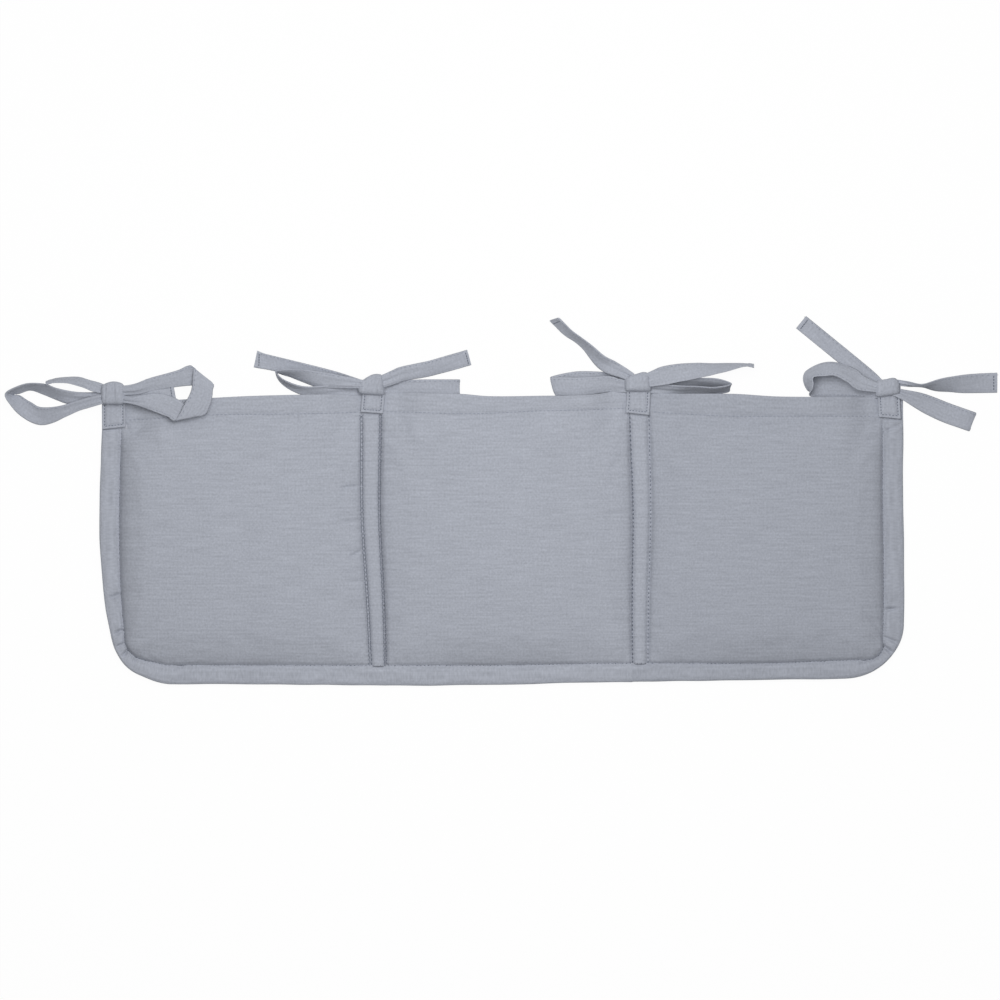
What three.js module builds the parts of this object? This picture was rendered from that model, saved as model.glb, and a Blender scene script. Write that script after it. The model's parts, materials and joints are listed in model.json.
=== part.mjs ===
// A padded bedside caddy: three cotton pockets side by side, lying front up, with four bows on its top edge.
// Millimetres. +X runs to the right pocket, +Y to the pocket mouths, +Z up out of the front.
// The origin is under the middle of the body, on the surface that the caddy lies on.
import * as THREE from 'three';

// Driving sizes, read from the photograph at 0.747 mm to the pixel
const BODY_WIDTH = 600;
const BODY_HEIGHT = 215;
const BINDING_WIDTH = 16;
const CORNER_RADIUS = 44;
const HEM_DEPTH = 12.5;
const LEFT_CHANNEL_TOP = -97.2;
const LEFT_CHANNEL_BOTTOM = -91.6;
const RIGHT_CHANNEL_TOP = 102.4;
const RIGHT_CHANNEL_BOTTOM = 103.6;
const CHANNEL_WIDTH_TOP = 15;
const CHANNEL_WIDTH_BOTTOM = 11.5;
const SEAM_ALLOWANCE = 1;

// Layer thicknesses and the slack that each pocket has when it lies empty
const COTTON = 0.6;
const BACK_WADDING = 2.6;
const FRONT_WADDING = 5;
const PRESSED_WADDING = 0.6;
const POCKET_GAP = 6;
const HEM_THICKNESS = 1.6;
const TAPE_THICKNESS = 1.2;
const TAB_WIDTH = 15;
const TAB_LENGTH = 17;
const KNOT_GROUND_GAP = 0.8;

// Widths over which the padding swells, and the flat run of hem beside each tab
const SHOULDER = 20;
const BACK_SHOULDER = 8;
const MOUTH_PINCH = 10;

// Touching pieces keep this gap
const CLEARANCE = 0.3;

const top = BODY_HEIGHT / 2;
const bottom = -BODY_HEIGHT / 2;
const side = BODY_WIDTH / 2;
const hemLine = top - HEM_DEPTH;
const sewnBottom = bottom + BINDING_WIDTH;
const sewnSide = side - BINDING_WIDTH;
const innerRadius = Math.max(CORNER_RADIUS - BINDING_WIDTH, 1);
const seamLow = TAPE_THICKNESS + CLEARANCE;
const frontHemLow = seamLow + HEM_THICKNESS + CLEARANCE;
const seamHigh = frontHemLow + HEM_THICKNESS;
const tabLow = seamHigh + CLEARANCE;
const tabMiddle = tabLow + TAPE_THICKNESS / 2;
const pressedBackHigh = seamLow + 2 * COTTON + PRESSED_WADDING + 2 * CLEARANCE;
const backHigh = 2 * COTTON + BACK_WADDING + 2 * CLEARANCE;
const frontThickness = 2 * COTTON + FRONT_WADDING + 2 * CLEARANCE;
const padHigh = backHigh + CLEARANCE + POCKET_GAP + frontThickness;

const cover = new THREE.MeshStandardMaterial({ color: 0xa4a8b2, roughness: 0.95 });
const lining = new THREE.MeshStandardMaterial({ color: 0xb4b7bf, roughness: 0.95 });
const wadding = new THREE.MeshStandardMaterial({ color: 0xeeece6, roughness: 1 });
const tape = new THREE.MeshStandardMaterial({ color: 0xa0a3ae, roughness: 0.95 });

const caddy = new THREE.Group();
caddy.name = 'bedside_caddy';

function add(name, geometry, material) {
  const mesh = new THREE.Mesh(geometry, material);
  mesh.name = name;
  caddy.add(mesh);
}

function closedGeometry(points, triangles) {
  const geometry = new THREE.BufferGeometry();
  geometry.setAttribute('position', new THREE.Float32BufferAttribute(points, 3));
  geometry.setIndex(triangles);
  return geometry;
}

// A closed solid between two height surfaces over a grid of shares across and up a patch.
function layer(columns, rows, place, low, high) {
  const across = columns.length;
  const sheet = across * rows.length;
  const points = [];
  for (const height of [low, high]) {
    for (const v of rows) {
      for (const u of columns) {
        const [x, y] = place(u, v);
        points.push(x, y, height(x, y));
      }
    }
  }
  const triangles = [];
  const rim = [];
  for (let i = 0; i < across - 1; i += 1) rim.push(i);
  for (let j = 0; j < rows.length - 1; j += 1) rim.push(j * across + across - 1);
  for (let i = across - 1; i > 0; i -= 1) rim.push((rows.length - 1) * across + i);
  for (let j = rows.length - 1; j > 0; j -= 1) rim.push(j * across);
  for (let j = 0; j < rows.length - 1; j += 1) {
    for (let i = 0; i < across - 1; i += 1) {
      const a = j * across + i;
      const b = a + 1;
      const c = a + across;
      const d = c + 1;
      triangles.push(a, c, b, b, c, d);
      triangles.push(sheet + a, sheet + b, sheet + c, sheet + b, sheet + d, sheet + c);
    }
  }
  rim.forEach((start, k) => {
    const end = rim[(k + 1) % rim.length];
    triangles.push(start, end, sheet + start, end, sheet + end, sheet + start);
  });
  return closedGeometry(points, triangles);
}

// Zero on a seam, one past the shoulder, leaving the seam steeply as stuffed cloth does.
function rise(distance, shoulder) {
  const share = THREE.MathUtils.clamp(distance / shoulder, 0, 1);
  return Math.sqrt(1 - (1 - share) ** 2);
}

const FRONT_STEPS = [0, 0.1, 0.35, 0.65, 1];
const BACK_STEPS = [0, 0.35, 1];

// Shares along a length, close together in both shoulders and even between them.
function shares(length, shoulder, steps, between) {
  const reach = Math.min(shoulder / length, 0.45);
  const start = steps.map((share) => share * reach);
  const end = start.map((share) => 1 - share).reverse();
  const middle = [];
  for (let k = 1; k <= between; k += 1) middle.push(reach + ((1 - 2 * reach) * k) / (between + 1));
  return [...start, ...middle, ...end];
}

function channelCentre(sign, y) {
  const upward = (y - bottom) / BODY_HEIGHT;
  if (sign < 0) return THREE.MathUtils.lerp(LEFT_CHANNEL_BOTTOM, LEFT_CHANNEL_TOP, upward);
  return THREE.MathUtils.lerp(RIGHT_CHANNEL_BOTTOM, RIGHT_CHANNEL_TOP, upward);
}

function channelHalf(y) {
  const upward = (y - bottom) / BODY_HEIGHT;
  return THREE.MathUtils.lerp(CHANNEL_WIDTH_BOTTOM, CHANNEL_WIDTH_TOP, upward) / 2 + SEAM_ALLOWANCE;
}

// The sewn inner edge of the binding on one side, with its rounded bottom corner.
function bindingEdge(sign, y) {
  const belowArc = Math.max(sewnBottom + innerRadius - y, 0);
  const inset = innerRadius - Math.sqrt(innerRadius ** 2 - belowArc ** 2);
  return sign * (sewnSide - inset);
}

function foldEdge(sign, y) {
  return channelCentre(sign, y) + sign * channelHalf(y);
}

function innerEdge(sign, y) {
  return channelCentre(sign, y) - sign * channelHalf(y);
}

const sections = [
  {
    name: 'left',
    padLeft: (y) => bindingEdge(-1, y) + CLEARANCE,
    padRight: (y) => foldEdge(-1, y) - CLEARANCE,
    hemLeft: () => -sewnSide + CLEARANCE,
    hemRight: (y) => foldEdge(-1, y) - CLEARANCE,
  },
  {
    name: 'centre',
    padLeft: (y) => innerEdge(-1, y) + CLEARANCE,
    padRight: (y) => innerEdge(1, y) - CLEARANCE,
    hemLeft: (y) => foldEdge(-1, y),
    hemRight: (y) => foldEdge(1, y),
  },
  {
    name: 'right',
    padLeft: (y) => foldEdge(1, y) + CLEARANCE,
    padRight: (y) => bindingEdge(1, y) - CLEARANCE,
    hemLeft: (y) => foldEdge(1, y) + CLEARANCE,
    hemRight: () => sewnSide - CLEARANCE,
  },
];

// The layers of each pocket, from the surface up: three of the back panel, the pocket, three of the front.
for (const section of sections) {
  const { name, padLeft, padRight, hemLeft, hemRight } = section;
  const padBottom = sewnBottom + CLEARANCE;
  const padTop = hemLine - CLEARANCE;
  const middleWidth = padRight(0) - padLeft(0);
  const place = (u, v) => {
    const y = THREE.MathUtils.lerp(padBottom, padTop, v);
    return [THREE.MathUtils.lerp(padLeft(y), padRight(y), u), y];
  };
  const sewnRise = (x, y, shoulder) =>
    rise(x - padLeft(y), shoulder) * rise(padRight(y) - x, shoulder) * rise(y - padBottom, shoulder);
  const backRise = (x, y) => sewnRise(x, y, BACK_SHOULDER) * rise(padTop - y, BACK_SHOULDER);
  const frontRise = (x, y) => sewnRise(x, y, SHOULDER) * rise(padTop - y, SHOULDER);

  const backCoverLow = (x, y) => seamLow * (1 - backRise(x, y));
  const backCoverHigh = (x, y) => backCoverLow(x, y) + COTTON;
  const backWaddingLow = (x, y) => backCoverHigh(x, y) + CLEARANCE;
  const backWaddingHigh = (x, y) =>
    backWaddingLow(x, y) + THREE.MathUtils.lerp(PRESSED_WADDING, BACK_WADDING, backRise(x, y));
  const backLiningLow = (x, y) => backWaddingHigh(x, y) + CLEARANCE;
  const backLiningHigh = (x, y) => backLiningLow(x, y) + COTTON;
  const frontLiningLow = (x, y) => backLiningHigh(x, y) + CLEARANCE + POCKET_GAP * sewnRise(x, y, SHOULDER);
  const frontLiningHigh = (x, y) => frontLiningLow(x, y) + COTTON;
  const frontWaddingLow = (x, y) => frontLiningHigh(x, y) + CLEARANCE;
  const frontWaddingHigh = (x, y) =>
    frontWaddingLow(x, y) + THREE.MathUtils.lerp(PRESSED_WADDING, FRONT_WADDING, frontRise(x, y));
  const frontCoverLow = (x, y) => frontWaddingHigh(x, y) + CLEARANCE;
  const frontCoverHigh = (x, y) => frontCoverLow(x, y) + COTTON;

  // One row of each grid lies where the rounded corner ends, so that the sides above it stay straight.
  const cornerRow = innerRadius / (padTop - padBottom);
  const withCorner = (rows) => [...rows, cornerRow].sort((low, high) => low - high);
  const backColumns = shares(middleWidth, BACK_SHOULDER, BACK_STEPS, 0);
  const backRows = withCorner(shares(padTop - padBottom, BACK_SHOULDER, BACK_STEPS, 0));
  const backLayer = (low, high) => layer(backColumns, backRows, place, low, high);
  add(`${name}_back_cover`, backLayer(backCoverLow, backCoverHigh), cover);
  add(`${name}_back_wadding`, backLayer(backWaddingLow, backWaddingHigh), wadding);
  add(`${name}_back_lining`, backLayer(backLiningLow, backLiningHigh), lining);

  const frontColumns = shares(middleWidth, SHOULDER, FRONT_STEPS, 1);
  const frontRows = withCorner(shares(padTop - padBottom, SHOULDER, FRONT_STEPS, 1));
  const frontLayer = (low, high) => layer(frontColumns, frontRows, place, low, high);
  add(`${name}_front_lining`, frontLayer(frontLiningLow, frontLiningHigh), lining);
  add(`${name}_front_wadding`, frontLayer(frontWaddingLow, frontWaddingHigh), wadding);
  add(`${name}_front_cover`, frontLayer(frontCoverLow, frontCoverHigh), cover);

  // The hem along the mouth lies flat beside each tab and lifts with the front panel between them.
  const hemLift = pressedBackHigh + CLEARANCE + POCKET_GAP - frontHemLow;
  const mouthLeft = Math.max(padLeft(top), hemLeft(top)) + MOUTH_PINCH;
  const mouthRight = Math.min(padRight(top), hemRight(top)) - MOUTH_PINCH;
  const leaves = (x) => THREE.MathUtils.smoothstep(x, mouthLeft, mouthLeft + SHOULDER);
  const returns = (x) => THREE.MathUtils.smoothstep(-x, -mouthRight, SHOULDER - mouthRight);
  const hemLow = (x) => frontHemLow + hemLift * leaves(x) * returns(x);
  const hemPlace = (u, v) => {
    const y = THREE.MathUtils.lerp(hemLine, top, v);
    return [THREE.MathUtils.lerp(hemLeft(y), hemRight(y), u), y];
  };
  const hemColumns = shares(mouthRight - mouthLeft, SHOULDER, FRONT_STEPS, 2).map((share) => {
    const x = THREE.MathUtils.lerp(mouthLeft, mouthRight, share);
    return (x - hemLeft(top)) / (hemRight(top) - hemLeft(top));
  });
  const frontHem = layer([0, ...hemColumns, 1], [0, 1], hemPlace, hemLow, (x) => hemLow(x) + HEM_THICKNESS);
  const backHem = layer([0, 1], [0, 1], hemPlace, () => seamLow, () => seamLow + HEM_THICKNESS);
  add(`${name}_front_hem`, frontHem, cover);
  add(`${name}_back_hem`, backHem, cover);
}

// The two sewn channels between the pockets.
for (const [name, sign] of [['left_divider', -1], ['right_divider', 1]]) {
  const place = (u, v) => {
    const y = THREE.MathUtils.lerp(sewnBottom + CLEARANCE, hemLine - CLEARANCE, v);
    return [channelCentre(sign, y) + (2 * u - 1) * channelHalf(y), y];
  };
  add(name, layer([0, 1], [0, 1], place, () => seamLow, () => seamHigh), cover);
}

// The folded binding, with its long edges eased over.
const BINDING_BEVEL = 1;
const BINDING_BEVEL_SEGMENTS = 2;
const CORNER_SEGMENTS = 9;

function bindingSolid(outline) {
  const geometry = new THREE.ExtrudeGeometry(outline, {
    depth: seamHigh - seamLow - 2 * BINDING_BEVEL,
    bevelThickness: BINDING_BEVEL,
    bevelSize: BINDING_BEVEL,
    bevelOffset: -BINDING_BEVEL,
    bevelSegments: BINDING_BEVEL_SEGMENTS,
    curveSegments: CORNER_SEGMENTS,
  });
  geometry.translate(0, 0, seamLow + BINDING_BEVEL);
  geometry.deleteAttribute('normal');
  geometry.deleteAttribute('uv');
  return geometry;
}

function cornerBinding(sign) {
  const fold = foldEdge(sign, bottom) + sign * CLEARANCE;
  const centreX = sign * (side - CORNER_RADIUS);
  const centreY = bottom + CORNER_RADIUS;
  const outward = sign > 0 ? 0 : Math.PI;
  const downward = sign > 0 ? -Math.PI / 2 : 1.5 * Math.PI;
  const outline = new THREE.Shape();
  outline.moveTo(sign * side, top);
  outline.lineTo(sign * side, centreY);
  outline.absarc(centreX, centreY, CORNER_RADIUS, outward, downward, sign > 0);
  outline.lineTo(fold, bottom);
  outline.lineTo(fold, sewnBottom);
  const innerX = sign * (sewnSide - innerRadius);
  outline.lineTo(innerX, sewnBottom);
  outline.absarc(innerX, sewnBottom + innerRadius, innerRadius, downward, outward, sign < 0);
  outline.lineTo(sign * sewnSide, top);
  return bindingSolid(outline);
}

add('left_binding', cornerBinding(-1), tape);
add('right_binding', cornerBinding(1), tape);
const straightOutline = new THREE.Shape();
straightOutline.moveTo(foldEdge(-1, bottom), bottom);
straightOutline.lineTo(foldEdge(1, bottom), bottom);
straightOutline.lineTo(foldEdge(1, bottom), sewnBottom);
straightOutline.lineTo(foldEdge(-1, bottom), sewnBottom);
add('centre_binding', bindingSolid(straightOutline), tape);

// A flat tape swept along a route. Each stop holds x, y, z, then the direction across the tape as a heading
// and a tilt in degrees, then the width there.
const STEPS_BETWEEN_STOPS = 2;

function sweptTape(stops) {
  const curve = new THREE.CatmullRomCurve3(stops.map((stop) => new THREE.Vector3(stop[0], stop[1], stop[2])));
  const points = [];
  const triangles = [];
  const last = (stops.length - 1) * STEPS_BETWEEN_STOPS;
  for (let k = 0; k <= last; k += 1) {
    const before = Math.min(Math.floor(k / STEPS_BETWEEN_STOPS), stops.length - 2);
    const part = k / STEPS_BETWEEN_STOPS - before;
    const blend = (slot) => THREE.MathUtils.lerp(stops[before][slot], stops[before + 1][slot], part);
    const heading = THREE.MathUtils.degToRad(blend(3));
    const tilt = THREE.MathUtils.degToRad(blend(4));
    const flat = Math.cos(tilt);
    const across = new THREE.Vector3(flat * Math.cos(heading), flat * Math.sin(heading), Math.sin(tilt));
    const along = curve.getTangent(k / last);
    across.addScaledVector(along, -across.dot(along)).normalize();
    const through = new THREE.Vector3().crossVectors(along, across);
    const centre = curve.getPoint(k / last);
    for (const [w, t] of [[-1, -1], [1, -1], [1, 1], [-1, 1]]) {
      const corner = centre.clone();
      corner.addScaledVector(across, (w * blend(5)) / 2);
      corner.addScaledVector(through, (t * TAPE_THICKNESS) / 2);
      points.push(corner.x, corner.y, corner.z);
    }
  }
  for (let k = 0; k < last; k += 1) {
    for (let c = 0; c < 4; c += 1) {
      const a = 4 * k + c;
      const b = 4 * k + ((c + 1) % 4);
      triangles.push(a, b, a + 4, b, b + 4, a + 4);
    }
  }
  const end = 4 * last;
  triangles.push(0, 2, 1, 0, 3, 2);
  triangles.push(end, end + 1, end + 2, end, end + 2, end + 3);
  return closedGeometry(points, triangles);
}

// Each bow: its knot, then its loops and tails. A root gives y, z and the width where the tape leaves the end
// of the knot, measured from the knot's centre. A stop's x and y are measured from there too, and its z from
// what the strand lies on: the surface, or the padded front under the right side of the first bow.
const ROOT_RUN = 3;
const KNOT_ROUNDING = 2;
const KNOT_BEVEL_SEGMENTS = 3;
const KNOT_SEGMENTS = 10;

const bows = [
  {
    name: 'tie_1',
    knot: { x: 9.4 - side, y: top + 1.9, liesOn: tabMiddle, width: 18, depth: 16, height: 9 },
    tabX: BINDING_WIDTH / 2 - side,
    tabLength: TAB_LENGTH,
    rightLiesOn: padHigh,
    leftLoop: {
      roots: [[-3, -1.8, 7], [0.6, 1.1, 6]],
      stops: [
        [-24, -8.2, 6.4, 106, 22, 12],
        [-39, -13.2, 5.2, 103, 30, 15],
        [-55, -15, 5.3, 88, 32, 15],
        [-68, -11, 6.6, 48, 48, 15],
        [-75.5, -3.4, 7.4, 5, 60, 15],
        [-71.5, 2.4, 7.4, -60, 60, 15],
        [-60.8, 4.2, 7.4, -88, 56, 15],
        [-47.7, 3, 7.8, -97, 50, 15],
        [-28, 0, 10, -95, 30, 10],
      ],
    },
    leftTail: {
      roots: [[7.2, -0.4, 4]],
      stops: [
        [-21.4, 10.2, 9, -96, 55, 10],
        [-32.3, 11.6, 8.2, -95, 66, 15],
        [-41.1, 11.6, 8.2, -90, 70, 15],
        [-50.1, 10.2, 8.3, -85, 78, 15],
      ],
    },
    rightLoop: {
      roots: [[2, 2.2, 7], [-3.4, 0, 7]],
      stops: [
        [24.7, 7.4, -2.3, 104, 25, 12],
        [46.6, 11, -1, 103, 16, 15],
        [60, 12.8, -0.9, 107, 8, 15],
        [67.2, 11.6, 0.7, 133, 45, 15],
        [66, 4.6, 2.7, 158, 6, 15],
        [62.2, -6, 2.7, 163, 0, 15],
        [58.6, -14.6, 2.5, 182, 4, 15],
        [52.6, -16, 1.1, 216, 5, 15],
        [39, -9.8, -0.7, 245, 3, 15],
        [24, -5.6, -2.5, 256, 3, 12],
      ],
    },
    rightTail: {
      roots: [[-3, -2.4, 7]],
      stops: [
        [20, -5.2, -6.3, 90, 0, 9],
        [29, -6.4, -4.1, 92, 0, 12],
        [39, -6.4, -3.8, 92, 0, 15],
        [49, -3.6, -3.8, 100, 0, 15],
      ],
    },
  },
  {
    name: 'tie_2',
    knot: { x: LEFT_CHANNEL_TOP, y: top + 9.3, liesOn: KNOT_GROUND_GAP, width: 18, depth: 14.4, height: 12 },
    tabX: LEFT_CHANNEL_TOP,
    tabLength: HEM_DEPTH + 1.8,
    rightLiesOn: 0,
    leftLoop: {
      roots: [[-3, 1.6, 7], [1.4, 4.2, 6]],
      stops: [
        [-31.6, -4, 8.8, 92, 52, 12],
        [-52.7, -3.2, 9.3, 85, 60, 14],
        [-66.3, 1.8, 9.6, 50, 70, 14],
        [-72.2, 8, 9.6, 0, 80, 14],
        [-66.4, 9.4, 9.6, -80, 80, 14],
        [-46.5, 4.6, 9.8, -105, 76, 14],
        [-27, 1.8, 10.2, -100, 55, 11],
      ],
    },
    leftTail: {
      roots: [[2.5, -3.4, 7]],
      stops: [
        [-24, 4.8, 1.4, 102, 0, 12],
        [-47.7, 9.9, 1.2, 102, 0, 12.5],
        [-70, 14.8, 1.2, 102, 0, 12.5],
        [-87, 18.6, 1.4, 102, 4, 12.5],
      ],
    },
    rightLoop: {
      roots: [[-2.5, -3.8, 7], [-2.5, -1.2, 7]],
      stops: [
        [23, -2.6, 1.6, 90, 0, 11],
        [42, -2.8, 1.2, 90, 0, 12],
        [60, -2.8, 1.2, 90, 0, 12],
        [66, -2.8, 3, 90, 0, 12],
        [60, -2.8, 4.8, 90, 0, 12],
        [42, -2.8, 5, 90, 0, 12],
        [23, -2.5, 5.2, 90, 0, 11],
      ],
    },
    rightTail: {
      roots: [[2.4, 2.2, 7]],
      stops: [
        [20, 7, 9, 116, 20, 11],
        [31, 11, 6.6, 108, 24, 12.5],
        [49, 15, 3.8, 102, 18, 12.5],
        [72.5, 19.8, 2.4, 101, 10, 12.5],
      ],
    },
  },
  {
    name: 'tie_3',
    knot: { x: RIGHT_CHANNEL_TOP, y: top + 10.7, liesOn: KNOT_GROUND_GAP, width: 18, depth: 13, height: 12 },
    tabX: RIGHT_CHANNEL_TOP,
    tabLength: HEM_DEPTH + 3.9,
    rightLiesOn: 0,
    leftLoop: {
      roots: [[-1.6, -3.8, 7], [-1.6, -0.8, 7]],
      stops: [
        [-23, -1, 1.6, 92, 0, 12],
        [-40, -1.6, 1.2, 98, 0, 15],
        [-57, -2, 1.2, 105, 0, 15],
        [-63.4, -2.1, 3, 108, 0, 15],
        [-57, -2, 4.8, 105, 0, 15],
        [-40, -1.4, 5.2, 97, 3, 15],
        [-23, -0.8, 5.6, 91, 3, 12],
      ],
    },
    leftTail: {
      roots: [[4.6, 2.2, 6]],
      stops: [
        [-19, 14, 8.2, 128, 32, 11],
        [-28.8, 22.2, 6.2, 127, 42, 13],
        [-40, 31.2, 6.8, 125, 56, 13],
        [-51.5, 38.6, 7.5, 120, 74, 13],
        [-62.9, 46.8, 7, 125, 62, 13],
      ],
    },
    rightLoop: {
      roots: [[-2.4, -3.8, 7], [-2.4, -1, 7]],
      stops: [
        [24, -3.8, 1.6, 88, 0, 11],
        [45, -4, 1.2, 86, 0, 11],
        [62, -4, 1.2, 85, 0, 11],
        [69, -3.8, 3.3, 85, 3, 11],
        [62, -3.2, 5.4, 88, 8, 11],
        [45, -2.4, 6, 90, 12, 11],
        [24, -2.4, 5.8, 90, 4, 10],
      ],
    },
    rightTail: {
      roots: [[2, 2.6, 7]],
      stops: [
        [24.3, 6.6, 11.4, 103, 20, 13],
        [45.8, 11, 10, 98, 34, 15],
        [67.2, 12.2, 8.6, 96, 58, 15],
        [85.8, 12.8, 8.6, 94, 78, 15],
      ],
    },
  },
  {
    name: 'tie_4',
    knot: { x: side - 12, y: top + 7.3, liesOn: KNOT_GROUND_GAP, width: 17.4, depth: 12, height: 12 },
    tabX: side - BINDING_WIDTH / 2,
    tabLength: TAB_LENGTH,
    rightLiesOn: 0,
    leftLoop: {
      roots: [[-1.2, 3.6, 6], [-4.6, -1.4, 3]],
      stops: [
        [-23.3, 6.2, 10.8, -116, 38, 12],
        [-38, 11.6, 9.8, -105, 48, 15],
        [-50, 11.6, 8.8, -75, 55, 15],
        [-57.4, 6.6, 8.2, -15, 72, 15],
        [-55, 0, 8, 45, 88, 15],
        [-44, -2.4, 8, 85, 106, 14],
        [-25, -3, 8, 90, 108, 11],
      ],
    },
    leftTail: {
      roots: [[4, -3.4, 5]],
      stops: [
        [-27.6, 16.4, 1.4, 130, 0, 11],
        [-43.8, 29.5, 1.2, 127, 0, 12.5],
        [-64, 48, 1.3, 127, 3, 12.5],
      ],
    },
    rightLoop: {
      roots: [[-3.4, -0.4, 5], [-3.4, 2, 5]],
      stops: [
        [19, -6.6, 6, 78, 0, 9],
        [31, -11.6, 2.4, 72, 0, 13],
        [44, -17, 1.2, 70, 0, 14.5],
        [58, -23, 1.2, 69, 0, 14.5],
        [63.6, -25.4, 3, 69, 0, 14.5],
        [58, -23, 4.8, 69, 0, 14.5],
        [44, -17, 5, 70, 0, 14.5],
        [31, -11.6, 6, 72, 0, 13],
        [19, -6.6, 8.8, 78, 0, 9],
      ],
    },
    rightTail: {
      roots: [[2.8, 1.8, 5]],
      stops: [
        [24.7, 2.8, 8.8, 92, 80, 12],
        [42, 3.4, 6.8, 92, 45, 15],
        [62, 3.6, 4, 91, 20, 15],
        [82, 3.4, 2.2, 90, 6, 15],
      ],
    },
  },
];

function knotCentre(knot) {
  return knot.liesOn + knot.height / 2;
}

// Stops of one loop or tail, with a straight run square to the knot at each root.
function route(bow, sign, strand) {
  const { knot } = bow;
  const liesOn = sign > 0 ? bow.rightLiesOn : 0;
  const placed = strand.stops.map(([x, y, z, ...across]) => [knot.x + x, knot.y + y, liesOn + z, ...across]);
  const leadIn = strand.roots.map(([y, z, width], k) => {
    const nearest = strand.stops[k === 0 ? 0 : strand.stops.length - 1];
    const heading = Math.sin(THREE.MathUtils.degToRad(nearest[3])) > 0 ? 90 : -90;
    const turned = heading + 360 * Math.round((nearest[3] - heading) / 360);
    const end = knot.x + sign * (knot.width / 2 + CLEARANCE);
    const height = knotCentre(knot) + z;
    const atKnot = [end, knot.y + y, height, turned, 0, width];
    const outward = [end + sign * ROOT_RUN, knot.y + y, height, turned, 0, width];
    return [atKnot, outward];
  });
  const closing = leadIn.length > 1 ? [leadIn[1][1], leadIn[1][0]] : [];
  return [...leadIn[0], ...placed, ...closing];
}

function knotSolid(knot) {
  const section = new THREE.Shape();
  section.absellipse(0, 0, knot.height / 2, knot.depth / 2, 0, 2 * Math.PI);
  const geometry = new THREE.ExtrudeGeometry(section, {
    depth: knot.width - 2 * KNOT_ROUNDING,
    bevelThickness: KNOT_ROUNDING,
    bevelSize: KNOT_ROUNDING,
    bevelOffset: -KNOT_ROUNDING,
    bevelSegments: KNOT_BEVEL_SEGMENTS,
    curveSegments: KNOT_SEGMENTS,
  });
  geometry.translate(0, 0, KNOT_ROUNDING - knot.width / 2);
  geometry.rotateY(Math.PI / 2);
  geometry.translate(knot.x, knot.y, knotCentre(knot));
  geometry.deleteAttribute('normal');
  geometry.deleteAttribute('uv');
  return geometry;
}

function tabSolid(bow, low) {
  const end = bow.knot.y - bow.knot.depth / 2 - CLEARANCE;
  const geometry = new THREE.BoxGeometry(TAB_WIDTH, bow.tabLength, TAPE_THICKNESS);
  geometry.translate(bow.tabX, end - bow.tabLength / 2, low + TAPE_THICKNESS / 2);
  geometry.deleteAttribute('normal');
  geometry.deleteAttribute('uv');
  return geometry;
}

for (const bow of bows) {
  add(`${bow.name}_front_tab`, tabSolid(bow, tabLow), tape);
  add(`${bow.name}_back_tab`, tabSolid(bow, 0), tape);
  add(`${bow.name}_knot`, knotSolid(bow.knot), tape);
  add(`${bow.name}_left_loop`, sweptTape(route(bow, -1, bow.leftLoop)), tape);
  add(`${bow.name}_left_tail`, sweptTape(route(bow, -1, bow.leftTail)), tape);
  add(`${bow.name}_right_loop`, sweptTape(route(bow, 1, bow.rightLoop)), tape);
  add(`${bow.name}_right_tail`, sweptTape(route(bow, 1, bow.rightTail)), tape);
}

export default caddy;
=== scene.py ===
# %% [markdown]
# # A padded bedside caddy with four bows
# The real thing is cut from one bolt of grey-blue cotton: three padded pockets, a folded binding and four
# tapes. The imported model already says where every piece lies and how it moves. This lesson dresses it: each
# plain solid is replaced by cloth that is swollen, puckered, stitched and tied. Lengths are in metres.

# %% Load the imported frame
import bisect
import json
import math

import bmesh
import bpy
from mathutils import Matrix, Vector, noise
from mathutils.bvhtree import BVHTree


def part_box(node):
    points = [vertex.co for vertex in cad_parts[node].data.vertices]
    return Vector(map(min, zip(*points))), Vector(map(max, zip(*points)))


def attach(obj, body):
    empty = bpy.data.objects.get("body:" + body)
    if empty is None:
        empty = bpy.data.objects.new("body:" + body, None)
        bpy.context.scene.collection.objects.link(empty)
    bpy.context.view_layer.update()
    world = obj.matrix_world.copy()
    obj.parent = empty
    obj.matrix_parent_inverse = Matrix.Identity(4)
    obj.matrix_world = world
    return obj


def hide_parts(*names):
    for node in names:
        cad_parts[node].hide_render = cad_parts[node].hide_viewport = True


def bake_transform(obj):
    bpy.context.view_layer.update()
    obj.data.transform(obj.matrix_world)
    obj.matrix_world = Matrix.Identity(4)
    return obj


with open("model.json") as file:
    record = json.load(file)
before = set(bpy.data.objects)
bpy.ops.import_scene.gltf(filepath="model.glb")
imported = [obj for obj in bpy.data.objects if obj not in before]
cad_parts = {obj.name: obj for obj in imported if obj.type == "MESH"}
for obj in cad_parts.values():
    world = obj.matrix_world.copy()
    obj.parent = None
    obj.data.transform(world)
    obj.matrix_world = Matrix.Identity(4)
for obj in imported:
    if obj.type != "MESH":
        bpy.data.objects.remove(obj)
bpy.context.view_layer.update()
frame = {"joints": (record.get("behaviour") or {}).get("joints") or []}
scene = bpy.context.scene
MM = 0.001

# %% [markdown]
# ## Camera
# The photograph looks straight down on the caddy. A long lens far above keeps the edges parallel, and its
# focal length is worked out from the width of cloth that the square picture takes in.

# %% Camera
PICTURE_WIDTH = 0.7472
PICTURE_CENTRE = (-0.0011, 0.0299)
CAMERA_HEIGHT = 8.0
SENSOR_WIDTH = 36.0
camera_data = bpy.data.cameras.new("overhead_camera")
camera_data.sensor_width = SENSOR_WIDTH
camera_data.lens = SENSOR_WIDTH * CAMERA_HEIGHT / PICTURE_WIDTH
camera = bpy.data.objects.new("overhead_camera", camera_data)
camera.location = (*PICTURE_CENTRE, CAMERA_HEIGHT)
scene.collection.objects.link(camera)
scene.camera = camera
print("camera lens:", round(camera_data.lens, 1), "mm")

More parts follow.
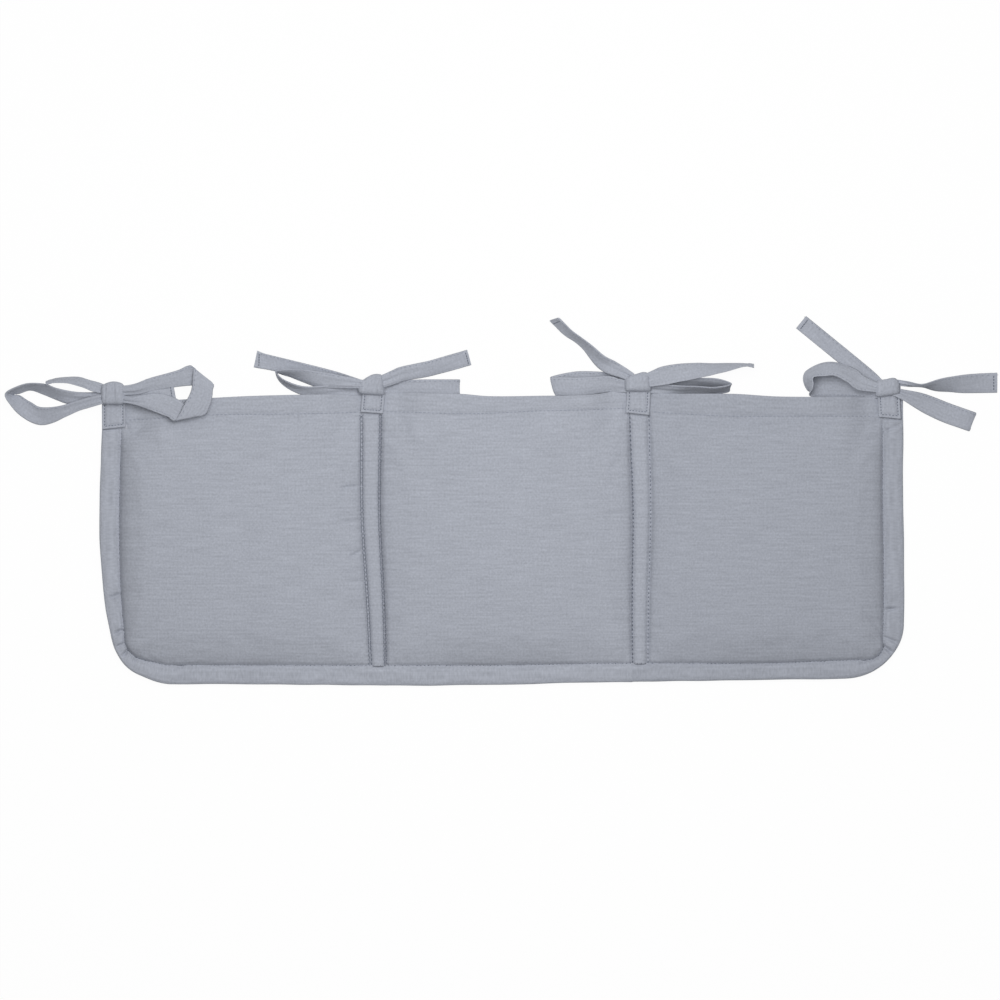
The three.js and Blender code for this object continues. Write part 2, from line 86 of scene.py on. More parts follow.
# %% [markdown]
# ## Shader sums in plain Python
# A material is a small program. This wrapper holds one output of a node, so that sums on outputs read like
# sums on numbers: each operator adds a Math node. One method adds every other kind of node.


# %% Wires between nodes
class Wire:
    """One output of a shader node. Arithmetic on wires adds Math nodes."""

    def __init__(self, tree, socket=None):
        self.tree = tree
        self.socket = socket

    def node(self, kind, settings, inputs, output=0):
        """Adds a node: its settings first, then the values or wires of its sockets."""
        made = self.tree.nodes.new(kind)
        for name, value in settings.items():
            setattr(made, name, value)
        for key, value in inputs.items():
            if isinstance(value, Wire):
                self.tree.links.new(value.socket, made.inputs[key])
            else:
                made.inputs[key].default_value = value
        return Wire(self.tree, made.outputs[output])

    def feed(self, shader, name):
        self.tree.links.new(self.socket, shader.inputs[name])

    def math(self, operation, first, second=0.0):
        return self.node("ShaderNodeMath", {"operation": operation}, {0: first, 1: second})

    def __add__(self, other):
        return self.math("ADD", self, other)

    def __radd__(self, other):
        return self.math("ADD", other, self)

    def __sub__(self, other):
        return self.math("SUBTRACT", self, other)

    def __rsub__(self, other):
        return self.math("SUBTRACT", other, self)

    def __mul__(self, other):
        return self.math("MULTIPLY", self, other)

    def __rmul__(self, other):
        return self.math("MULTIPLY", other, self)


def new_material(name):
    """An empty material, a wire to start from, and its shader."""
    material = bpy.data.materials.new(name)
    material.use_nodes = True
    tree = material.node_tree
    tree.nodes.clear()
    shader = tree.nodes.new("ShaderNodeBsdfPrincipled")
    output = tree.nodes.new("ShaderNodeOutputMaterial")
    tree.links.new(shader.outputs["BSDF"], output.inputs["Surface"])
    return material, Wire(tree), shader


def shade(red, green, blue):
    """A colour picked on a screen, from 0 to 255, as the light that it stands for."""
    channels = []
    for value in (red, green, blue):
        share = value / 255
        channels.append(share / 12.92 if share <= 0.04045 else ((share + 0.055) / 1.055) ** 2.4)
    return channels


print("a mid grey of 128 is", round(shade(128, 128, 128)[0], 3), "of full light")

# %% [markdown]
# ## Cotton
# The cloth is a plain weave of uneven yarn: under a lens it is a grid of threads, and from a step away thick
# and thin yarns draw faint streaks, stronger across the cloth than down it. The pattern reads a UV map in
# metres that every cloth piece carries, so that it turns and bends with the tape or panel that wears it.

# %% Cotton finishes
THREAD_PITCH = 0.62 * MM
CLOTH_UV = "cloth"
WEFT_STREAK = (24 * MM, 1.45 * MM)
WARP_STREAK = (1.2 * MM, 24 * MM)
NAP_SPECK = (1.45 * MM, 1.65 * MM)
SLOW_CLOUD = (45 * MM, 38 * MM)
WEFT_TONE = 0.29
WARP_TONE = 0.08
NAP_TONE = 0.4
CLOUD_TONE = 0.03
RIDGE_TONE = 0.04
LEAST_ROUGH = 0.84
NAP_ROUGH = 0.14
WEFT_RELIEF = 0.8
OTHER_RELIEF = 0.5
BUMP_STRENGTH = 0.4
COTTON_DEPTH = 0.25 * MM
COTTON_LOOKS = {"Specular IOR Level": 0.15, "Sheen Weight": 0.08, "Sheen Roughness": 0.55}
FUZZ_SCALE = 1800.0
TWIST_SCALE = 420.0
THREAD_TONES = (0.86, 0.2, 0.1)
THREAD_DEPTH = 0.1 * MM
THREAD_LOOKS = {"Roughness": 0.7, "Sheen Weight": 0.1}


def cloth_noise(wire, flat, size, detail):
    """Noise about a half, stretched to the given lengths along and across the cloth, in metres."""
    density = (1 / size[0], 1 / size[1], 1)
    scaled = wire.node("ShaderNodeVectorMath", {"operation": "MULTIPLY"}, {0: flat, 1: density})
    return wire.node("ShaderNodeTexNoise", {}, {"Vector": scaled, "Scale": 1.0, "Detail": detail})


def thread_ridges(wire, measure):
    """Rounded ridges one thread apart along one direction of the cloth."""
    angle = measure * (2 * math.pi / THREAD_PITCH)
    return wire.math("SINE", angle) * 0.5 + 0.5


def tint(shader, colour, tone, looks):
    """Gives a shader a colour that a wire lightens and darkens, and its plain values."""
    tinted = tone.node("ShaderNodeVectorMath", {"operation": "SCALE"}, {0: colour, "Scale": tone})
    tinted.feed(shader, "Base Color")
    for key, value in looks.items():
        shader.inputs[key].default_value = value


def emboss(shader, height, depth):
    settings = {"Strength": BUMP_STRENGTH, "Distance": depth, "Height": height}
    height.node("ShaderNodeBump", {}, settings).feed(shader, "Normal")


def cotton(name, colour, streak=1.0):
    """Woven cotton, with its yarn's streaks made stronger or fainter."""
    material, wire, shader = new_material(name)
    flat = wire.node("ShaderNodeUVMap", {"uv_map": CLOTH_UV}, {})
    across = wire.node("ShaderNodeSeparateXYZ", {}, {0: flat})
    down = Wire(wire.tree, across.socket.node.outputs[1])
    weft = cloth_noise(wire, flat, WEFT_STREAK, 1.0)
    warp = cloth_noise(wire, flat, WARP_STREAK, 1.0)
    nap = cloth_noise(wire, flat, NAP_SPECK, 1.0)
    slow = cloth_noise(wire, flat, SLOW_CLOUD, 2.0)
    ridges = thread_ridges(wire, across) * 0.5 + thread_ridges(wire, down) * 0.5
    tone = 1 + streak * WEFT_TONE * (weft - 0.5) + streak * WARP_TONE * (warp - 0.5)
    tone = tone + CLOUD_TONE * (slow - 0.5) + NAP_TONE * (nap - 0.5) + RIDGE_TONE * (ridges - 0.5)
    tint(shader, colour, tone, COTTON_LOOKS)
    rough = LEAST_ROUGH + NAP_ROUGH * nap
    rough.feed(shader, "Roughness")
    relief = ridges * OTHER_RELIEF + weft * WEFT_RELIEF + warp * OTHER_RELIEF + nap * OTHER_RELIEF
    emboss(shader, relief, COTTON_DEPTH)
    return material


def sewing_thread(name, colour):
    material, wire, shader = new_material(name)
    place = wire.node("ShaderNodeTexCoord", {}, {}, output="Object")
    fuzz = wire.node("ShaderNodeTexNoise", {}, {"Vector": place, "Scale": FUZZ_SCALE, "Detail": 2.0})
    twist = wire.node("ShaderNodeTexNoise", {}, {"Vector": place, "Scale": TWIST_SCALE, "Detail": 1.0})
    plain, fuzzy, twisted = THREAD_TONES
    tint(shader, colour, plain + fuzzy * fuzz + twisted * twist, THREAD_LOOKS)
    emboss(shader, fuzz, THREAD_DEPTH)
    return material


cover_cotton = cotton("cover_cotton", shade(166, 170, 180))
# The right pocket's front, back and binding wear a darker copy of the cover cotton. This is painted shade,
# standing in for the light that falls off across the right of the caddy.
shaded_right_cotton = cotton("shaded_right_cover_cotton", shade(161, 165, 175))
covers = {"left": cover_cotton, "centre": cover_cotton, "right": shaded_right_cotton}
lining_cotton = cotton("lining_cotton", shade(174, 177, 186), streak=0.6)
tape_cotton = cotton("tape_cotton", shade(166, 170, 180), streak=0.8)
# The sewing thread and the chain thread are darker than the real thread, whose tone is near the cloth's. They
# carry painted shade: the shadow in the needle holes and in the grooves round each stitch.
shade_dark_thread = sewing_thread("sewing_thread", shade(88, 94, 108))
shade_dark_chain_thread = sewing_thread("shade_dark_chain_thread", shade(102, 108, 122))
pale_thread = sewing_thread("pale_thread", shade(142, 147, 160))
print("finishes:", [m.name for m in bpy.data.materials])

# %% [markdown]
# ## Light and floor
# A flat lay is lit by one broad soft source overhead, a little towards the top of the picture, with pale
# walls all round. The floor is white. Seen by the camera it glows like paper, and keeps a faint shadow.

# %% Light and floor
WORLD_LIGHT = 0.28
KEY_PLACE = (0.0, 0.3, 1.1)
KEY_SIZE = 0.95
KEY_POWER = 11.1
FLOOR_REACH = 6.0
FLOOR_Z = -0.3 * MM
FLOOR_GLOW = 0.96
PAPER_SPECK = 90.0
PAPER_TONES = (0.9, 0.02)
PAPER_LOOKS = {"Roughness": 0.9}
WHITE = (1, 1, 1, 1)

world = bpy.data.worlds.new("pale_room")
world.use_nodes = True
world.node_tree.nodes["Background"].inputs["Color"].default_value = WHITE
world.node_tree.nodes["Background"].inputs["Strength"].default_value = WORLD_LIGHT
scene.world = world
scene.view_settings.view_transform = "Standard"

key_data = bpy.data.lights.new("overhead_softbox", "AREA")
key_data.shape = "DISK"
key_data.size = KEY_SIZE
key_data.energy = KEY_POWER
key = bpy.data.objects.new("overhead_softbox", key_data)
key.location = KEY_PLACE
key.rotation_euler = Vector(KEY_PLACE).to_track_quat("Z", "Y").to_euler()
key.visible_camera = False
scene.collection.objects.link(key)


def paper_white():
    """White paper that glows wherever the camera, a reflection or a clear thing shows it."""
    material, wire, shader = new_material("paper_white")
    tree = wire.tree
    speck = wire.node("ShaderNodeTexNoise", {}, {"Scale": PAPER_SPECK, "Detail": 3.0})
    tint(shader, WHITE[:3], PAPER_TONES[0] + PAPER_TONES[1] * speck, PAPER_LOOKS)
    path = wire.node("ShaderNodeLightPath", {}, {})
    outputs = path.socket.node.outputs
    seen = Wire(tree, outputs["Is Camera Ray"])
    mirrored = Wire(tree, outputs["Is Glossy Ray"])
    through = Wire(tree, outputs["Is Transmission Ray"])
    shown = wire.math("MINIMUM", seen + mirrored + through, 1.0)
    glow = wire.node("ShaderNodeEmission", {}, {"Color": WHITE, "Strength": 1.0})
    mixed = wire.node("ShaderNodeMixShader", {}, {0: shown * FLOOR_GLOW, 2: glow})
    tree.links.new(shader.outputs["BSDF"], mixed.socket.node.inputs[1])
    output = next(n for n in tree.nodes if n.bl_idname == "ShaderNodeOutputMaterial")
    tree.links.new(mixed.socket, output.inputs["Surface"])
    return material


floor_mesh = bmesh.new()
bmesh.ops.create_grid(floor_mesh, x_segments=2, y_segments=2, size=FLOOR_REACH)
floor_data = bpy.data.meshes.new("floor")
floor_mesh.to_mesh(floor_data)
floor_mesh.free()
floor_data.materials.append(paper_white())
floor = bpy.data.objects.new("floor", floor_data)
floor.location.z = FLOOR_Z
scene.collection.objects.link(floor)
print("floor and light are set")

# %% [markdown]
# ## The pattern
# A sewn piece starts as a flat pattern. These values say where its seams run, taken from the frame. A real
# caddy never lies quite square: the bows draw its top edge up and down and its lower left corner leans in.
# The stops below say by how much, in millimetres, and a smooth curve runs through them.

# %% Pattern and seams
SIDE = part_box("right_binding")[1].x
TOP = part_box("right_binding")[1].y
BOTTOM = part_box("right_binding")[0].y
HEM_DROP = 2.6 * MM
HEM_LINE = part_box("left_front_hem")[0].y - HEM_DROP
SEAM_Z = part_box("centre_binding")[1].z
HEM_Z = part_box("centre_front_hem")[1].z
PAD_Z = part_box("centre_front_cover")[1].z
BINDING = 14.8 * MM
BOTTOM_BINDING = 13.6 * MM
CORNER = {-1: 44 * MM, 1: 43 * MM}
SEWN_SIDE = SIDE - BINDING
SEWN_BOTTOM = BOTTOM + BOTTOM_BINDING
INNER_CORNER = {-1: 20 * MM, 1: 11 * MM}
CHANNEL_TOP = {-1: -97.2 * MM, 1: 102.4 * MM}
CHANNEL_BOTTOM = {-1: -91.6 * MM, 1: 103.6 * MM}
CHANNEL_HALF_TOP = 7.5 * MM
CHANNEL_HALF_BOTTOM = 5.75 * MM
SIGN = {"left": -1, "right": 1}


def clamp(value):
    return min(max(value, 0.0), 1.0)


def mix(start, end, share):
    return start + (end - start) * share


def ease(share):
    share = clamp(share)
    return share * share * (3 - 2 * share)


def swell(distance, reach):
    """Zero on a seam and one past the reach, leaving the seam steeply as stuffed cloth does."""
    share = clamp(distance / reach)
    return math.sqrt(1 - (1 - share) ** 2)


def hump(distance, width):
    """One at nothing, fading to zero over a few widths."""
    return math.exp(-((distance / width) ** 2))


def squared(value, power):
    """A sine or cosine bent so that a circle drawn with it becomes a rounded square."""
    return math.copysign(abs(value) ** power, value)


def channel_row(sign, outer, y):
    """Where a stitch row of a channel crosses height y. The outer row is the one that folds."""
    upward = (y - BOTTOM) / (TOP - BOTTOM)
    half = mix(CHANNEL_HALF_BOTTOM, CHANNEL_HALF_TOP, upward)
    return mix(CHANNEL_BOTTOM[sign], CHANNEL_TOP[sign], upward) + sign * (half if outer else -half)


print("pattern:", round(2 * SIDE / MM), "by", round((TOP - BOTTOM) / MM), "mm, pad", round(PAD_Z / MM, 1))


# %% How the caddy lies
def smooth_stops(stops):
    """A function from a place to the values there, on a smooth curve through the stops."""
    places = [stop[0] for stop in stops]

    def slope(k, value):
        near, far = stops[max(k - 1, 0)], stops[min(k + 1, len(stops) - 1)]
        return (far[value] - near[value]) / (far[0] - near[0])

    def at(place):
        place = min(max(place, places[0]), places[-1])
        k = min(max(bisect.bisect_right(places, place), 1), len(stops) - 1)
        run = places[k] - places[k - 1]
        t = (place - places[k - 1]) / run
        found = []
        for value in range(1, len(stops[0])):
            ends = stops[k - 1][value] * (1 + 2 * t) * (1 - t) ** 2 + stops[k][value] * t * t * (3 - 2 * t)
            bend = slope(k - 1, value) * (1 - t) - slope(k, value) * t
            found.append(ends + run * t * (1 - t) * bend)
        return found

    return at


# Each stop is a height on the left edge and how far that edge leans in there.
left_lean = smooth_stops(
    [
        (-107, 8.0), (-90, 8.0), (-71, 7.8), (-52, 4.4), (-34, 2.2), (-15, 0.75), (4, 0.0), (40, 0.0),
        (60, 0.75), (78, 1.5), (107, 2.2),
    ]
)
# Each stop is a place along the top, how far the top edge is drawn up there, and how far the hem line is.
top_draw = smooth_stops(
    [
        (-300, -3.0, -5.1), (-291, -3.0, -5.1), (-265, -3.7, -4.1), (-244, -2.9, -2.3),
        (-216, -1.4, -0.7), (-188, 0.0, -0.4), (-150, 1.0, -0.1), (-111, 1.6, 1.0), (-85, 2.7, 1.4),
        (-57, 2.1, 0.7), (-30, 1.6, -0.1), (-9, -0.1, 0.5), (29, 0.2, 2.5), (66, 1.0, 3.3),
        (92, 4.6, 3.8), (111, 4.9, 1.4), (121, 2.2, 0.7), (174, 1.6, -2.3), (208, -0.4, -1.9),
        (281, -0.5, -1.9), (300, -0.5, -1.9),
    ]
)
LEAN_START = -230 * MM
LEAN_REACH = 70 * MM
LEAN_POWER = 3.5
DRAW_FADE = 50 * MM
EDGE_LIFT = 4.4 * MM
EDGE_LIFT_BELOW = -45 * MM
EDGE_LIFT_FADE = 50 * MM
EDGE_LIFT_END = 280 * MM
CORNER_LIFT = 3.8 * MM
CORNER_LIFT_PLACE = (-247 * MM, -68 * MM)
CORNER_LIFT_FADE = (25 * MM, 24 * MM)
SWAY_WIDTHS = 3

# Each sway is a place, how wide and how tall the swayed part is, and how far it goes right and up.
SWAYS = [
    (-94, 20, 60, 55, -2.5, 0),
    (103, 22, 60, 50, 1.9, 0),
    (-284, -10, 12, 60, -0.8, 0),
    (300, -35, 30, 40, 1.1, 0),
    (190, -92, 60, 8, 0, -1.8),
    (-75, -107, 90, 12, 0, -1.2),
]


def lie(x, y):
    """Where a point of the pattern comes to lie."""
    lean = 0.0
    drawn = 0.0
    if x < LEAN_START:
        lean = left_lean(y / MM)[0] * MM * clamp((LEAN_START - x) / LEAN_REACH) ** LEAN_POWER
    if y > HEM_LINE - DRAW_FADE:
        top, hem = top_draw(x / MM)
        upward = clamp((y - HEM_LINE) / (TOP - HEM_LINE))
        drawn = mix(hem, top, upward) * MM * ease(1 - (HEM_LINE - y) / DRAW_FADE)
    rise = EDGE_LIFT * ease((EDGE_LIFT_BELOW - y) / EDGE_LIFT_FADE) * clamp(x / EDGE_LIFT_END)
    leftward = ease((CORNER_LIFT_PLACE[0] - x) / CORNER_LIFT_FADE[0])
    downward = ease((CORNER_LIFT_PLACE[1] - y) / CORNER_LIFT_FADE[1])
    rise += CORNER_LIFT * leftward * downward
    for sway_x, sway_y, wide, tall, right, up in SWAYS:
        if abs(x - sway_x * MM) < SWAY_WIDTHS * wide * MM:
            share = hump(x - sway_x * MM, wide * MM) * hump(y - sway_y * MM, tall * MM)
            lean += right * MM * share
            rise += up * MM * share
    return x + lean, y + rise + drawn


print("upper left corner lies at", [round(v / MM, 1) for v in lie(-SIDE, TOP)])

# %% [markdown]
# ## Where the tabs press
# Each tape is sewn to the top edge with a small tab in front and behind. The tabs come last, but the cloth
# under them has to be flat, so their places are set here, in millimetres.

# %% Tab places
TABS = {
    "tie_1": {"top_x": -289.6, "low_x": -289.4, "width": 17.6, "low": 83.6, "high": 106.0, "skew": 2.0},
    "tie_2": {"top_x": -95.1, "low_x": -96.8, "width": 16.8, "low": 95.0, "high": 114.0, "skew": -1.2},
    "tie_3": {"top_x": 102.7, "low_x": 101.6, "width": 17.5, "low": 94.2, "high": 115.0, "skew": -2.0},
    "tie_4": {"top_x": 288.9, "low_x": 290.0, "width": 16.6, "low": 91.2, "high": 113.0, "skew": -1.6},
}
PRESS_FADE = 5.5 * MM
PRESSED_FRONT = SEAM_Z - 0.9 * MM
PRESSED_BACK = 1.4 * MM


def tab_share(x, y):
    """One under a tab, fading to zero just round it. The point is where the cloth lies."""
    nearest = 1.0
    for tab in TABS.values():
        upward = (y / MM - tab["low"]) / (tab["high"] - tab["low"])
        middle = mix(tab["low_x"], tab["top_x"], upward) * MM
        beyond = max(abs(x - middle) - tab["width"] * MM / 2, tab["low"] * MM - y)
        nearest = min(nearest, beyond)
    return clamp(1 - nearest / PRESS_FADE) ** 2 if nearest > 0 else 1.0


print("press under the middle of tab 2:", tab_share(-96 * MM, 100 * MM))

# %% [markdown]
# ## Patches of cloth
# Each panel is a grid stretched over a patch with four edges. The edges may bend, as round the bottom
# corners, and the grid is blended from all four of them, so that its lines run along every seam. Columns
# crowd towards the sides, where the stitching needs finer cloth.


# %% Patches
def walk(points):
    """A function from a share of a run's length to the point there."""
    reached = [0.0]
    for near, far in zip(points, points[1:]):
        reached.append(reached[-1] + (far - near).length)

    def at(share):
        goal = share * reached[-1]
        k = min(max(bisect.bisect_right(reached, goal), 1), len(points) - 1)
        part = (goal - reached[k - 1]) / (reached[k] - reached[k - 1])
        return points[k - 1].lerp(points[k], part)

    at.length = reached[-1]
    return at


def arc(centre, radius, start, end, steps=24):
    """Points round a centre, between two angles in degrees."""
    angles = [math.radians(mix(start, end, k / steps)) for k in range(steps + 1)]
    return [Vector((centre[0] + radius * math.cos(a), centre[1] + radius * math.sin(a))) for a in angles]


def stretch_patch(bm, columns, rows, edges, crowd=0.0):
    """Adds a grid to bm, blended from the patch's bottom, top, left and right edges."""
    below, above, left, right = edges
    made = bmesh.ops.create_grid(bm, x_segments=columns, y_segments=rows, size=0.5)
    corners = (below(0), below(1), above(0), above(1))
    for vert in made["verts"]:
        u = vert.co.x + 0.5
        u -= crowd * math.sin(2 * math.pi * u) / (2 * math.pi)
        v = vert.co.y + 0.5
        across = below(u).lerp(above(u), v)
        upward = left(v).lerp(right(v), u)
        square = corners[0].lerp(corners[1], u).lerp(corners[2].lerp(corners[3], u), v)
        vert.co = (across + upward - square).to_3d()


def row_run(sign, outer, low, high):
    """The two ends of a channel's stitch row between two heights."""
    return [Vector((channel_row(sign, outer, y), y)) for y in (low, high)]


def binding_run(sign, start):
    """The sewn edge of the binding, from the middle of a corner's arc up the side or along the bottom."""
    radius = INNER_CORNER[sign]
    centre = (sign * (SEWN_SIDE - radius), SEWN_BOTTOM + radius)
    middle = 225 if sign < 0 else 315
    if start == "side":
        end = 180 if sign < 0 else 360
        return arc(centre, radius, middle, end) + [Vector((sign * SEWN_SIDE, HEM_LINE))]
    fold = Vector((channel_row(sign, True, SEWN_BOTTOM), SEWN_BOTTOM))
    return arc(centre, radius, middle, 270) + [fold]


def section_edges(name):
    """The bottom, top, left and right edges of one pocket, below its hem line."""
    if name == "centre":
        left = row_run(-1, False, SEWN_BOTTOM, HEM_LINE)
        right = row_run(1, False, SEWN_BOTTOM, HEM_LINE)
        below = [left[0], right[0]]
    elif name == "left":
        left = binding_run(-1, "side")
        right = row_run(-1, True, SEWN_BOTTOM, HEM_LINE)
        below = binding_run(-1, "bottom")
    else:
        left = row_run(1, True, SEWN_BOTTOM, HEM_LINE)
        right = binding_run(1, "side")
        below = binding_run(1, "bottom")[::-1]
    return walk(below), walk([left[-1], right[-1]]), walk(left), walk(right)


def between_runs(left, right):
    """The edges of a patch between two straight runs, each from its low end to its high end."""
    return walk([left[0], right[0]]), walk([left[1], right[1]]), walk(left), walk(right)


# %% Panel patterns
PAD_COLUMNS = 72
PAD_ROWS = 108
HEM_ROWS = 8
STRIP_COLUMNS = 8
PAD_CROWD = 0.55
PANEL_WELD = 0.05 * MM


def panel_mesh(name):
    """One pocket's panel as a flat pattern: pad, hem, and the channel on its fold side, welded together."""
    bm = bmesh.new()
    edges = section_edges(name)
    stretch_patch(bm, PAD_COLUMNS, PAD_ROWS, edges, PAD_CROWD)
    if name == "centre":
        ends = [row_run(-1, False, HEM_LINE, TOP), row_run(1, False, HEM_LINE, TOP)]
    else:
        sign = SIGN[name]
        sewn = [Vector((sign * SEWN_SIDE, y)) for y in (HEM_LINE, TOP)]
        fold = row_run(sign, True, HEM_LINE, TOP)
        ends = [sewn, fold][::-sign]
        for rows, low, high in ((PAD_ROWS, SEWN_BOTTOM, HEM_LINE), (HEM_ROWS, HEM_LINE, TOP)):
            runs = [row_run(sign, True, low, high), row_run(sign, False, low, high)][::-sign]
            stretch_patch(bm, STRIP_COLUMNS, rows, between_runs(*runs))
    stretch_patch(bm, PAD_COLUMNS, HEM_ROWS, between_runs(*ends), PAD_CROWD)
    bmesh.ops.remove_doubles(bm, verts=bm.verts[:], dist=PANEL_WELD)
    return bm


test = panel_mesh("left")
print("left panel pattern:", len(test.verts), "points")
test.free()

# %% [markdown]
# ## Heights of the padding
# Wadding makes each pocket rise from its seams in a round shoulder and then crown slowly. The seam by the
# left binding was sewn tight, so its shoulder is the fullest. The mouth of the pocket is only held at the
# tabs, so the hem rises between them. These functions give the height of any point of the pattern from its
# distance to each seam.

# %% Heights
SHOULDER = 20 * MM
CROWN = 80 * MM
CROWN_EXTRA = 0.6 * MM
LEFT_RISE = (1.0, 7.6 * MM)
ROW_RISE = (0.46, 5.5 * MM)
RIGHT_RISE = (0.68, 6.0 * MM)
BOTTOM_RISE = (0.7, 10.0 * MM)
MOUTH_RISE = (0.6, 7.0 * MM)
MOUTH_PINCH = 10 * MM
MOUTH_REACH = 22 * MM
HEM_VALLEY = {"left": 1.1 * MM, "centre": 1.0 * MM, "right": 2.2 * MM}
HEM_FALL = {"left": 3.0 * MM, "centre": 3.5 * MM, "right": 6.5 * MM}
HEM_STEP = 1.0 * MM
HEM_STEP_RUN = 0.9 * MM
VALLEY_FADE = 4 * MM
MOUTH_FADE = 30 * MM
STRIP_LOFT = 1.3 * MM
STRIP_FADE = 6 * MM
STRIP_SLACK = 1e-4
FRONT_CLOTH = 1.2 * MM
POCKET_GAP = 6 * MM
LINING_Z = 4.3 * MM
FAR = 1.0

SIDE_KINDS = {
    "left": (("binding", -1, LEFT_RISE), ("row", -1, True)),
    "centre": (("row", -1, False), ("row", 1, False)),
    "right": (("row", 1, True), ("binding", 1, RIGHT_RISE)),
}


def shoulder(distance, rise):
    """Zero on a seam. A round shoulder gives a share of the height, and a slow crown gives the rest."""
    share, reach = rise
    return share * (1 - math.exp(-distance / reach)) + (1 - share) * ease(distance / CROWN)


def side_gap(kind, x, y):
    """How far a point lies inside one side edge of a pocket, and its share of the turn round a corner."""
    if kind[0] == "row":
        return abs(x - channel_row(kind[1], kind[2], y)), None
    sign = kind[1]
    radius = INNER_CORNER[sign]
    centre_x = sign * (SEWN_SIDE - radius)
    centre_y = SEWN_BOTTOM + radius
    if sign * x > sign * centre_x and y < centre_y:
        turn = math.atan2(centre_y - y, sign * (x - centre_x)) / (math.pi / 2)
        return radius - math.hypot(x - centre_x, y - centre_y), turn
    return SEWN_SIDE - sign * x, None


def seam_gaps(name, x, y):
    """Distances from the left, right and bottom seams and the hem line of a pocket."""
    left, left_turn = side_gap(SIDE_KINDS[name][0], x, y)
    right, right_turn = side_gap(SIDE_KINDS[name][1], x, y)
    below = y - SEWN_BOTTOM if left_turn is None and right_turn is None else FAR
    return max(left, 0), max(right, 0), max(below, 0), max(HEM_LINE - y, 0)


def in_strip(name, x, y):
    """The share across the channel, from 0 to 1, if the point lies in one, or else nothing."""
    if name == "centre":
        return None
    outer = channel_row(SIGN[name], True, y)
    inner = channel_row(SIGN[name], False, y)
    share = (x - outer) / (inner - outer)
    return clamp(share) if share > -STRIP_SLACK else None


def mouth_lift(name, x):
    """From 0 beside the tabs to 1 where the pocket's mouth stands free."""
    left, right, _, _ = seam_gaps(name, x, HEM_LINE)
    return ease((left - MOUTH_PINCH) / MOUTH_REACH) * ease((right - MOUTH_PINCH) / MOUTH_REACH)


def fullness(name, x, y):
    """From 0 on the side and bottom seams to 1 where the padding is full, carried round the corners."""
    full = 1.0
    low = shoulder(max(y - SEWN_BOTTOM, 0), BOTTOM_RISE)
    for kind in SIDE_KINDS[name]:
        gap, turn = side_gap(kind, x, y)
        gap = max(gap, 0)
        rise = ROW_RISE if kind[0] == "row" else kind[2]
        share = shoulder(gap, rise)
        if turn is not None:
            radius = INNER_CORNER[kind[1]]
            upright = share * shoulder(radius, BOTTOM_RISE)
            level = shoulder(radius, rise) * shoulder(gap, BOTTOM_RISE)
            share = mix(upright, level, ease(turn))
            low = 1.0
        full *= share
    return full * low


def front_height(name, x, y):
    """The top of a pocket's front before any pucker."""
    strip = in_strip(name, x, y)
    if strip is not None:
        held = ease((HEM_LINE - y) / STRIP_FADE)
        return SEAM_Z + STRIP_LOFT * (1 - (2 * strip - 1) ** 2) * held
    above = max(HEM_LINE - y, 0)
    lift = mouth_lift(name, x)
    if y > HEM_LINE:
        valley = lift * HEM_VALLEY[name] * math.exp((HEM_LINE - y) / HEM_FALL[name])
        return mix(SEAM_Z, HEM_Z, lift) - valley
    sewn = fullness(name, x, y)
    held = mix(SEAM_Z, HEM_Z, mix(lift, sewn, ease(above / MOUTH_FADE)))
    step = HEM_STEP * ease(above / HEM_STEP_RUN) + HEM_VALLEY[name]
    valley = lift * step * math.exp(-above / VALLEY_FADE)
    return held + (PAD_Z + CROWN_EXTRA - HEM_Z) * sewn * shoulder(above, MOUTH_RISE) - valley


def lining_height(name, x, y, above):
    """The underside of a pocket's front, which never comes nearer the top than the cloth is thick."""
    left, right, below, _ = seam_gaps(name, x, min(y, HEM_LINE))
    sewn = 0.0 if in_strip(name, x, y) is not None else swell(left, SHOULDER) * swell(right, SHOULDER)
    free = mix(mouth_lift(name, x), 1, ease((HEM_LINE - y) / MOUTH_FADE))
    lift = min(sewn * swell(below, SHOULDER), free)
    return min(LINING_Z + POCKET_GAP * lift, above - FRONT_CLOTH)


print("middle of the left pocket stands", round(front_height("left", -200 * MM, 0) / MM, 1), "mm high")

# %% [markdown]
# ## Swelling by simulation
# The stuffed look comes from a cloth simulation: the panel starts as the plain heights above, its seams are
# pinned, air pressure pushes the cloth out and a little slack lets it wrinkle. How far a point may move is
# capped, so that the pad keeps its size.

# %% Cloth simulation
SIM_FRAMES = 20
SIM_CAP = 0.6 * MM
SIM_START = 0.98
PIN_GROUP = "sewn"
PIN_REACH = 0.4 * MM
CREASE_REACH = 0.3 * MM
HEM_REACH = 0.1 * MM
SIM_SETTINGS = {
    "quality": 6,
    "mass": 0.12,
    "tension_stiffness": 12,
    "compression_stiffness": 12,
    "shear_stiffness": 6,
    "bending_stiffness": 0.35,
    "use_pressure": True,
    "uniform_pressure_force": 2.5,
    "vertex_group_mass": PIN_GROUP,
    "shrink_min": -0.006,
}


def new_piece(name, bm, *materials):
    """Turns bm into a smooth object of the scene."""
    data = bpy.data.meshes.new(name)
    for face in bm.faces:
        face.smooth = True
    bm.to_mesh(data)
    bm.free()
    for material in materials:
        data.materials.append(material)
    obj = bpy.data.objects.new(name, data)
    scene.collection.objects.link(obj)
    return obj


def cap_ends(bm):
    """Closes the open ends of a roll or a tape and keeps their rims sharp."""
    made = bmesh.ops.holes_fill(bm, edges=[e for e in bm.edges if e.is_boundary], sides=0)
    for edge in {e for face in made["faces"] for e in face.edges}:
        edge.smooth = False
    bmesh.ops.recalc_face_normals(bm, faces=bm.faces[:])


